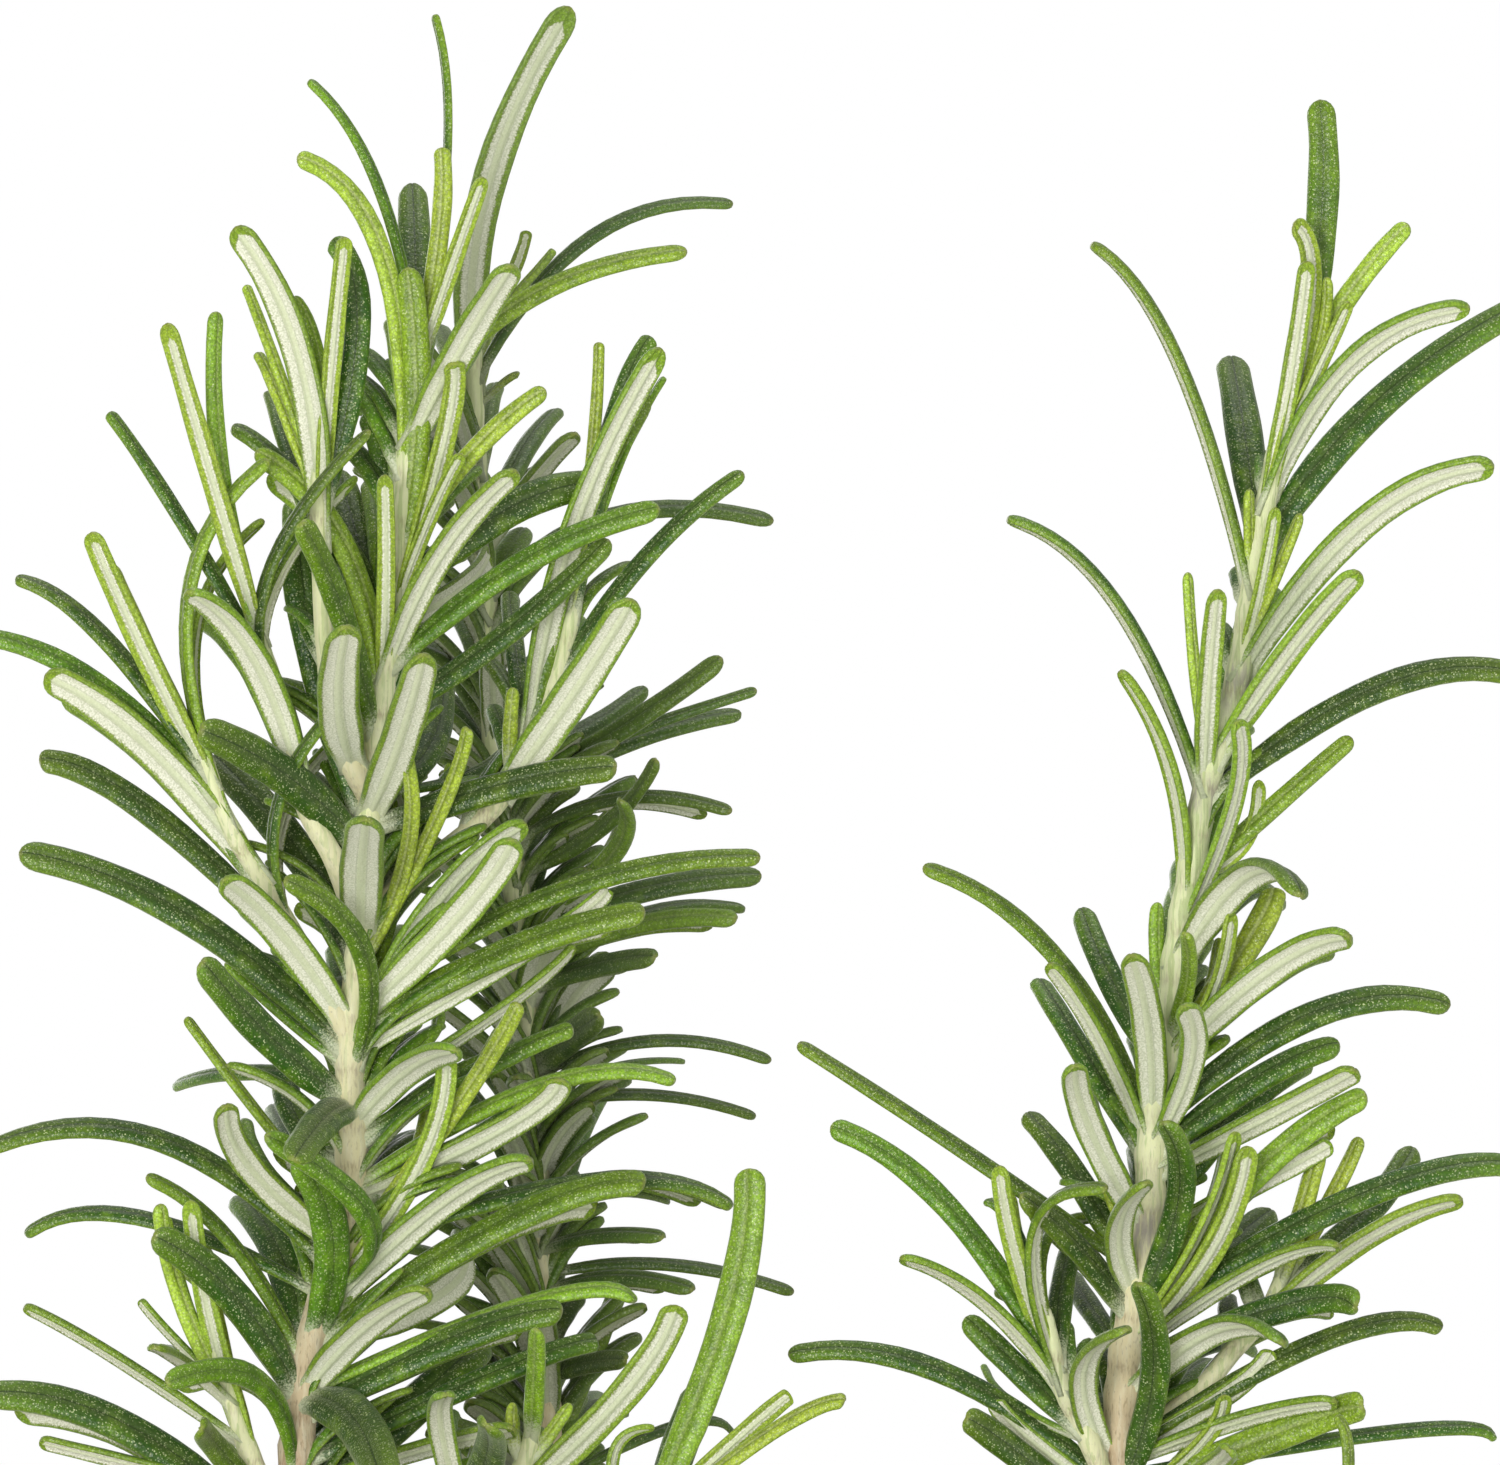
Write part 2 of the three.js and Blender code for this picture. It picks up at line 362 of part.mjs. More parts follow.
// Shorter shoots, which fill the plant out below the tall ones and at its back.
const MIDDLE = {
  name: 'shoot_middle',
  axes: { main: { radii: [1.7, 0.8], points: [
    ...foot(-3, -14), [-5, -14, 122], [-7, -12.6, 148], [-6.6, -11, 176]] } },
  leaves: { main: [
    [173.5, 0.9, 191.8, 2.8, 204.8, 0, 3.2, 30, FRESH],
    [174.5, 2.1, 182.5, 6.3, 186, 0, 1.8, 150, YOUNG],
    [174, 4.6, 182.8, 10.8, 185.5, -0.1, 1.9, 60, YOUNG],
    [172, -8.5, 180.5, -5, 183.2, 0, 1.5, 120, FRESH],
  ] },
  lower: { axis: 'main', from: 113, to: 168, step: 10, seed: 41 },
};

const FRONT_RIGHT = {
  name: 'shoot_front_right',
  axes: { main: { radii: [1.7, 0.8], points: [
    ...foot(30, -22), [36, -24, 122], [46, -23, 150], [52.5, -20, 177]] } },
  leaves: { main: [[175, 52.6, 181.3, 51.5, 184.3, 0, 1.2, 40, FRESH]] },
  lower: { axis: 'main', from: 113, to: 168, step: 10, seed: 53 },
};

const shortShoot = (name, seed, points) => ({
  name,
  axes: { main: { radii: [1.6, 0.8], points } },
  leaves: { main: [] },
  lower: { axis: 'main', from: 112, to: points[points.length - 1][2] - 1, step: 10, seed },
});

const SHOOTS = [
  LEFT,
  RIGHT,
  BACK,
  MIDDLE,
  FRONT_RIGHT,
  shortShoot('shoot_back_right', 61, [
    ...foot(24, 26), [29, 31, 122], [33, 35, 146], [34, 36, 166]]),
  shortShoot('shoot_back_left', 67, [
    ...foot(-30, 22), [-36, 27, 120], [-41, 30, 142], [-42, 31, 160]]),
  shortShoot('shoot_front_left', 71, [
    ...foot(-30, -28), [-36, -33, 118], [-40, -36, 138], [-41, -36, 152]]),
  shortShoot('shoot_front', 79, [
    ...foot(13, -36), [15, -41, 117], [16, -43, 134], [15, -43, 148]]),
];

// ---- helpers ----
const wasm = await Module();
wasm.setup();

const UP = new THREE.Vector3(0, 0, 1);
const TO_FRONT = new THREE.Vector3(0, -1, 0);

// Numbers from 0 to 1 that are the same on every run.
function seededRandom(seed) {
  let state = seed;
  return () => {
    state = (Math.imul(state, 1664525) + 1013904223) >>> 0;
    return state / 4294967296;
  };
}

const mix = (a, b, t) => a + (b - a) * t;

function toSolid(geometry) {
  const bare = geometry.clone();
  bare.deleteAttribute('normal');
  bare.deleteAttribute('uv');
  const merged = mergeVertices(bare, 1e-5);
  return new wasm.Manifold(new wasm.Mesh({
    numProp: 3,
    vertProperties: new Float32Array(merged.attributes.position.array),
    triVerts: new Uint32Array(merged.index.array),
  }));
}

function toGeometry(solid) {
  const mesh = solid.getMesh();
  const geometry = new THREE.BufferGeometry();
  geometry.setAttribute('position', new THREE.BufferAttribute(new Float32Array(mesh.vertProperties), 3));
  geometry.setIndex(new THREE.BufferAttribute(new Uint32Array(mesh.triVerts), 1));
  geometry.computeVertexNormals();
  return geometry;
}

// Moves every vertex of a geometry to place(x, y, z).
function reshape(geometry, place) {
  const position = geometry.attributes.position;
  for (let i = 0; i < position.count; i++) {
    const to = place(position.getX(i), position.getY(i), position.getZ(i));
    position.setXYZ(i, to.x, to.y, to.z);
  }
  return geometry;
}

// The point of an axis at height z, on a smooth curve through its points.
function axisPoint(points, z) {
  let i = 0;
  while (i < points.length - 2 && z > points[i + 1][2]) i++;
  const at = (k) => points[Math.min(Math.max(k, 0), points.length - 1)];
  const slope = (k, c) => {
    const [before, after] = [at(k - 1), at(k + 1)];
    return (after[c] - before[c]) / (after[2] - before[2]);
  };
  const [low, high] = [at(i), at(i + 1)];
  const h = high[2] - low[2];
  const t = (z - low[2]) / h;
  const along = (c) => (2 * t ** 3 - 3 * t ** 2 + 1) * low[c] + (t ** 3 - 2 * t ** 2 + t) * h * slope(i, c)
    + (3 * t ** 2 - 2 * t ** 3) * high[c] + (t ** 3 - t ** 2) * h * slope(i + 1, c);
  return new THREE.Vector3(along(0), along(1), z);
}

// A round stem along an axis, thinner towards its top, which is closed with a blunt cone.
function stemSolid({ radii, points }) {
  const bottom = points[0][2];
  const top = points[points.length - 1][2];
  const steps = Math.max(4, Math.round((top - bottom) / STEM_STEP));
  const unit = new THREE.CylinderGeometry(1, 1, 1, STEM_SIDES, steps);
  return toSolid(reshape(unit, (x, y, z) => {
    const t = y + 0.5;
    const centre = axisPoint(points, mix(bottom, top, t));
    const radius = mix(radii[0], radii[1], t);
    return new THREE.Vector3(centre.x + x * radius, centre.y - z * radius, centre.z);
  }));
}

// A leaf from its root, through its middle, to its tip: flat beneath and ridged above.
// across is the direction of its width. shorter is the share of its length that is kept.
function leafSolid(leaf, shorter, extra = 0) {
  const { root, middle, tip, across, width } = leaf;
  const control = middle.clone().multiplyScalar(2).sub(root.clone().add(tip).multiplyScalar(0.5));
  const curve = new THREE.QuadraticBezierCurve3(root, control, tip);
  const rings = [0, 0.45, 0.88, 1];
  const widths = [0.6, 1, 0.8, 0];
  const steps = rings.length - 1;
  const thickness = Math.max(LEAF_MIN_THICKNESS, LEAF_THICKNESS * width) + extra;
  const unit = new THREE.ConeGeometry(1, 1, 3, steps);
  return toSolid(reshape(unit, (x, y, z) => {
    const ring = Math.round((y + 0.5) * steps);
    const t = rings[ring] * shorter;
    const centre = curve.getPoint(t);
    const ahead = curve.getTangent(Math.min(t, 0.999));
    const side = across.clone().addScaledVector(ahead, -across.dot(ahead)).normalize();
    const above = side.clone().cross(ahead);
    if (Math.hypot(x, z) < 1e-6) return centre;
    // the three corners: two at the edges and one on the ridge
    const corner = Math.round(Math.atan2(x, z) / (2 * Math.PI / 3)) + 1;
    const half = (width + extra) / 2 * widths[ring];
    const sideways = [-half, 0, half][corner];
    const lift = corner === 1 ? 0.62 * thickness : -0.38 * thickness;
    return centre.addScaledVector(side, sideways).addScaledVector(above, lift * Math.sqrt(widths[ring]));
  }));
}

// A leaf seen from the front, from its row in the lists above.
function leafFromRow(points, row) {
  const [height, middleX, middleZ, tipX, tipZ, lean, width, turn, age] = row;
  const root = axisPoint(points, height);
  const seen = Math.hypot(tipX - root.x, tipZ - root.z);
  const full = age === YOUNG ? YOUNG_STRETCH * seen : Math.max(LEAF_LENGTH, 1.02 * seen);
  const depth = Math.sign(lean) * Math.sqrt(Math.abs(lean) * (full ** 2 - seen ** 2));
  const middle = new THREE.Vector3(middleX, root.y + MID_DEPTH * depth, middleZ);
  const tip = new THREE.Vector3(tipX, root.y + depth, tipZ);
  const ahead = tip.clone().sub(root).normalize();
  const facing = TO_FRONT.clone().addScaledVector(ahead, -TO_FRONT.dot(ahead)).normalize();
  const upward = ahead.clone().cross(facing);
  if (upward.z < 0) upward.negate();
  const angle = THREE.MathUtils.degToRad(turn);
  const above = facing.multiplyScalar(Math.cos(angle)).addScaledVector(upward, Math.sin(angle));
  return { root, middle, tip, across: ahead.cross(above), width, lean };
}

// The leaf that answers a front one on the far side of the stem, a little shorter.
function farPartner(leaf, random) {
  const size = mix(0.82, 0.94, random());
  const mirror = (point) => {
    const offset = point.clone().sub(leaf.root).multiplyScalar(size);
    offset.y = -offset.y + 0.12 * Math.abs(offset.x);
    return leaf.root.clone().add(offset);
  };
  const across = leaf.across.clone();
  across.y = -across.y;
  return { ...leaf, middle: mirror(leaf.middle), tip: mirror(leaf.tip), across: across.negate() };
}

// Leaves in crossed pairs up an axis, each pair a quarter turn from the last, with smaller ones between.
// A shoot that stands close behind others, marked hidden, has only the leaves on its free side.
function crossedPairs(points, { from, to, step, seed, hidden = false }) {
  const random = seededRandom(seed);
  const leaves = [];
  for (let z = from, node = 0; z < to; z += step, node++) {
    const start = node * 90 + mix(-14, 14, random());
    for (let k = 0; k < 3; k++) {
      const small = k === 2;
      const turnBy = small ? 90 + (node % 4 < 2 ? 0 : 180) : k * 180;
      const azimuth = THREE.MathUtils.degToRad(start + turnBy + mix(-12, 12, random()));
      const outward = new THREE.Vector3(Math.cos(azimuth), Math.sin(azimuth), 0);
      const length = (small ? mix(11, 16, random()) : mix(19, 26, random()));
      const spread = THREE.MathUtils.degToRad(small ? mix(28, 45, random()) : mix(48, 74, random()));
      const width = small ? mix(1.3, 1.8, random()) : mix(2, 2.8, random());
      const droop = mix(0.08, 0.16, random()) * length;
      if (hidden && (outward.y < 0.2 || outward.x > 0.4)) continue;
      const root = axisPoint(points, Math.min(z + (small ? 1.5 : 0), to));
      const ahead = outward.clone().multiplyScalar(Math.sin(spread)).addScaledVector(UP, Math.cos(spread));
      const above = UP.clone().addScaledVector(ahead, -UP.dot(ahead)).normalize();
      const tip = root.clone().addScaledVector(ahead, length);
      const middle = root.clone().addScaledVector(ahead, length / 2).addScaledVector(above, droop);
      leaves.push({ root, middle, tip, across: ahead.clone().cross(above), width });
    }
  }
  return leaves;
}

// Every leaf of a shoot: the listed ones, their far partners, and crossed pairs on the lower stem.
function leavesOf(shoot) {
  const random = seededRandom(shoot.lower.seed + 1);
  const leaves = [];
  for (const [axis, rows] of Object.entries(shoot.leaves)) {
    const points = shoot.axes[axis].points;
    for (const row of rows) leaves.push(leafFromRow(points, row));
  }
  const near = leaves.filter((leaf, i) => leaf.lean <= -0.4 && i % 2 > 0);
  leaves.push(...near.map((leaf) => farPartner(leaf, random)));
  leaves.push(...crossedPairs(shoot.axes[shoot.lower.axis].points, shoot.lower));
  return leaves;
}

// Joins solids into one body, without loose scraps or sealed hollows.
function join(solids) {
  const parts = wasm.Manifold.union(solids).simplify(0.02).decompose();
  return parts.reduce((best, part) => (part.volume() > best.volume() ? part : best));
}

const overlaps = (a, b) => !a.intersect(b).isEmpty();

// ---- materials ----
const clay = new THREE.MeshStandardMaterial({ color: 0xb5673f, roughness: 0.9, metalness: 0 });
const earth = new THREE.MeshStandardMaterial({ color: 0x3a2a1e, roughness: 1, metalness: 0 });
const foliage = new THREE.MeshStandardMaterial({ color: 0x5f8f3a, roughness: 0.65, metalness: 0 });

// ---- pot ----
function potProfile() {
  const rimBottom = POT_HEIGHT - RIM_HEIGHT;
  const outline = [
    [0, 0], [POT_BASE_RADIUS - EDGE_ROUNDING, 0], [POT_BASE_RADIUS, EDGE_ROUNDING],
    [POT_TOP_RADIUS, rimBottom], [RIM_RADIUS - RIM_STEP, rimBottom + 1],
    [RIM_RADIUS, POT_HEIGHT - EDGE_ROUNDING], [RIM_RADIUS - EDGE_ROUNDING, POT_HEIGHT],
    [RIM_RADIUS - POT_WALL + 1, POT_HEIGHT], [RIM_RADIUS - POT_WALL, POT_HEIGHT - EDGE_ROUNDING],
    [insideRadius(SOIL_TOP), SOIL_TOP], [insideRadius(POT_FLOOR), POT_FLOOR], [0, POT_FLOOR]];
  return outline.map(([r, z]) => new THREE.Vector2(r, z));
}

// Radius of the pot's inside at height z: the wall is a straight cone there.
function insideRadius(z) {
  const rise = (z - EDGE_ROUNDING) / (POT_HEIGHT - RIM_HEIGHT - EDGE_ROUNDING);
  const outside = mix(POT_BASE_RADIUS, POT_TOP_RADIUS, rise);
  return Math.min(outside - POT_WALL, RIM_RADIUS - POT_WALL);
}

// A solid of revolution about +Z.
function turned(profile, sides) {
  return new THREE.LatheGeometry(profile, sides).rotateX(Math.PI / 2);
}

function uprightCylinder(radius, bottom, top, x, y, sides) {
  const geometry = new THREE.CylinderGeometry(radius, radius, top - bottom, sides);
  return geometry.rotateX(Math.PI / 2).translate(x, y, (bottom + top) / 2);
}

function potSolid() {
  let pot = toSolid(turned(potProfile(), POT_SIDES));
  for (let k = 0; k < DRAIN_HOLES; k++) {
    const angle = (k + 0.25) * 2 * Math.PI / DRAIN_HOLES;
    const [x, y] = [DRAIN_HOLE_CIRCLE * Math.cos(angle), DRAIN_HOLE_CIRCLE * Math.sin(angle)];
    const hole = uprightCylinder(DRAIN_HOLE_RADIUS, -1, POT_FLOOR + 1, x, y, DRAIN_HOLE_SIDES);
    pot = pot.subtract(toSolid(hole));
  }
  return pot;
}

// ---- soil ----
function soilSolid() {
  const bottom = POT_FLOOR + GAP;
  const edgeHeight = SOIL_TOP - SOIL_EDGE;
  const edge = insideRadius(edgeHeight) - GAP;
  const outline = [
    [0, bottom], [insideRadius(POT_FLOOR) - GAP, bottom], [edge, edgeHeight], [edge - 5, SOIL_TOP],
    [edge * 0.7, SOIL_TOP + 0.5], [edge * 0.35, SOIL_TOP + 1], [0, SOIL_TOP + 1]];
  const profile = outline.map(([r, z]) => new THREE.Vector2(r, z));
  const lumpy = reshape(turned(profile, POT_SIDES), (x, y, z) => {
    const bump = Math.sin(0.29 * x + 1) * Math.cos(0.23 * y) + 0.6 * Math.sin(0.51 * y - 0.37 * x);
    const share = z > edgeHeight + 1 ? Math.min(1, (edge - Math.hypot(x, y)) / 8) : 0;
    return new THREE.Vector3(x, y, z + share * SOIL_BUMP * bump);
  });
  const holes = SHOOTS.map(({ axes }) => {
    const [x, y, bottom] = axes.main.points[0];
    const radius = (axes.main.radii[0] + GAP) / Math.cos(Math.PI / STEM_HOLE_SIDES);
    return toSolid(uprightCylinder(radius, bottom - GAP, SOIL_TOP + 10, x, y, STEM_HOLE_SIDES));
  });
  return toSolid(lumpy).subtract(wasm.Manifold.union(holes));
}

// ---- the plant ----
const plant = new THREE.Group();

function addBody(name, solid, material) {
  const mesh = new THREE.Mesh(toGeometry(solid), material);
  mesh.name = name;
  plant.add(mesh);
  return solid;
}

const bodies = [
  addBody('pot', potSolid(), clay),
  addBody('soil', soilSolid(), earth),
];

// A leaf that would cross a body built before is shortened until it is clear, and else left out.
for (const shoot of SHOOTS) {
  const stems = Object.values(shoot.axes).map(stemSolid);
  const leaves = [];
  for (const leaf of leavesOf(shoot).filter(({ width }) => width >= LEAF_MIN_WIDTH)) {
    const clear = SHORTENED.find((length) => {
      const swollen = leafSolid(leaf, length, 2 * GAP);
      return !bodies.some((body) => overlaps(swollen, body));
    });
    if (clear) leaves.push(leafSolid(leaf, clear));
  }
  bodies.push(addBody(shoot.name, join([...stems, ...leaves]), foliage));
}

export default plant;
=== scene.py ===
"""A rosemary plant in a plain clay pot: fine leaves, felted stems, soil and clay in place of the solids.

Lengths are millimetres, as in the solids, and every mesh is scaled to metres at the end. Only the lamps
are placed in metres.
"""

import math

import bpy
import numpy as np
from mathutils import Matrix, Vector


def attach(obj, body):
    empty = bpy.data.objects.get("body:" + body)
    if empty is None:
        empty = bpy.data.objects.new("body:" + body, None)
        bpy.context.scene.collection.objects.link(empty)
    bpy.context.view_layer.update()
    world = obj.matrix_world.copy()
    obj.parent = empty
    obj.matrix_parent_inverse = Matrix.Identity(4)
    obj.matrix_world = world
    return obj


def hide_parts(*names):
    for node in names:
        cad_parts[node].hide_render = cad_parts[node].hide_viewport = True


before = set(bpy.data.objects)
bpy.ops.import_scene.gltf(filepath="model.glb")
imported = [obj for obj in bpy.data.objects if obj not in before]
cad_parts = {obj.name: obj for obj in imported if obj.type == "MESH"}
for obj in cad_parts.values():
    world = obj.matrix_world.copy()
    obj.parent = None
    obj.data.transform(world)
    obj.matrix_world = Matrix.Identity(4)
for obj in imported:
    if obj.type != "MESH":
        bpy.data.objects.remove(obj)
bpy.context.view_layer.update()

MM = 0.001
UP = np.array([0.0, 0.0, 1.0])
TO_FRONT = np.array([0.0, -1.0, 0.0])
# About one full turn, for drawn directions and for girths.
TURN = 6.28

# ---- driving dimensions, the same as the solids' ----
POT_HEIGHT = 112
POT_BASE_RADIUS = 44
POT_TOP_RADIUS = 60
RIM_RADIUS = 65
RIM_HEIGHT = 24
RIM_STEP = 1.5
POT_WALL = 5
POT_FLOOR = 7
EDGE_ROUNDING = 2
DRAIN_HOLE_RADIUS = 4
DRAIN_HOLE_CIRCLE = 22
DRAIN_HOLES = 3

SOIL_TOP = 100
SOIL_BUMP = 1.6
SOIL_EDGE = 1.5
STEM_HOLE_DEPTH = 22

LEAF_LENGTH = 24
# A young leaf's true length over its length in the front view, the least such ratio of the others, and the
# share of the tip's lean that a leaf has reached half way along.
YOUNG_STRETCH = 1.08
LEAST_STRETCH = 1.02
MID_DEPTH = 0.42

# ---- the photograph's view ----
VIEW_CENTRE_X = 2.92
VIEW_CENTRE_Z = 241.04
VIEW_WIDTH = 125
VIEW_DISTANCE = 5000
SENSOR_WIDTH = 36

# ---- surroundings ----
FLOOR_RADIUS = 1500
FLOOR_CENTRE_GAP = 2
FLOOR_TOP = -0.2
FLOOR_BOTTOM = -8
FLOOR_SIDES = 96
# How bright the white world shines at the horizon and overhead, which is where a direction rises by
# OVERHEAD_FROM of its length. The camera sees plain white.
HORIZON_LIGHT = 0.57
OVERHEAD_LIGHT = 0.36
OVERHEAD_FROM = 0.9
# Lamps: name, place, target, diameter, and power in watts.
LAMPS = [
    ("key", (-0.45, -1.5, 0.14), (0, 0, 0.23), 0.8, 19.5),
    ("fill", (1.0, -1.2, 0.1), (0, 0, 0.23), 0.9, 5),
    ("top", (0.1, 0.2, 1.6), (0, 0, 0.22), 1.0, 5),
    ("back", (-0.5, 1.4, 0.3), (0, 0, 0.22), 1.0, 5)]

# Ages of a leaf, which set its colour, and the length of a young one.
DARK, MID, FRESH, YOUNG = 0, 1, 2, 3


# ---- shoots ----
def foot(x, y):
    """The straight foot of an axis, from the bottom of its hole to just above the soil."""
    return [[x, y, z] for z in (SOIL_TOP - STEM_HOLE_DEPTH, SOIL_TOP - 2, SOIL_TOP + 4)]


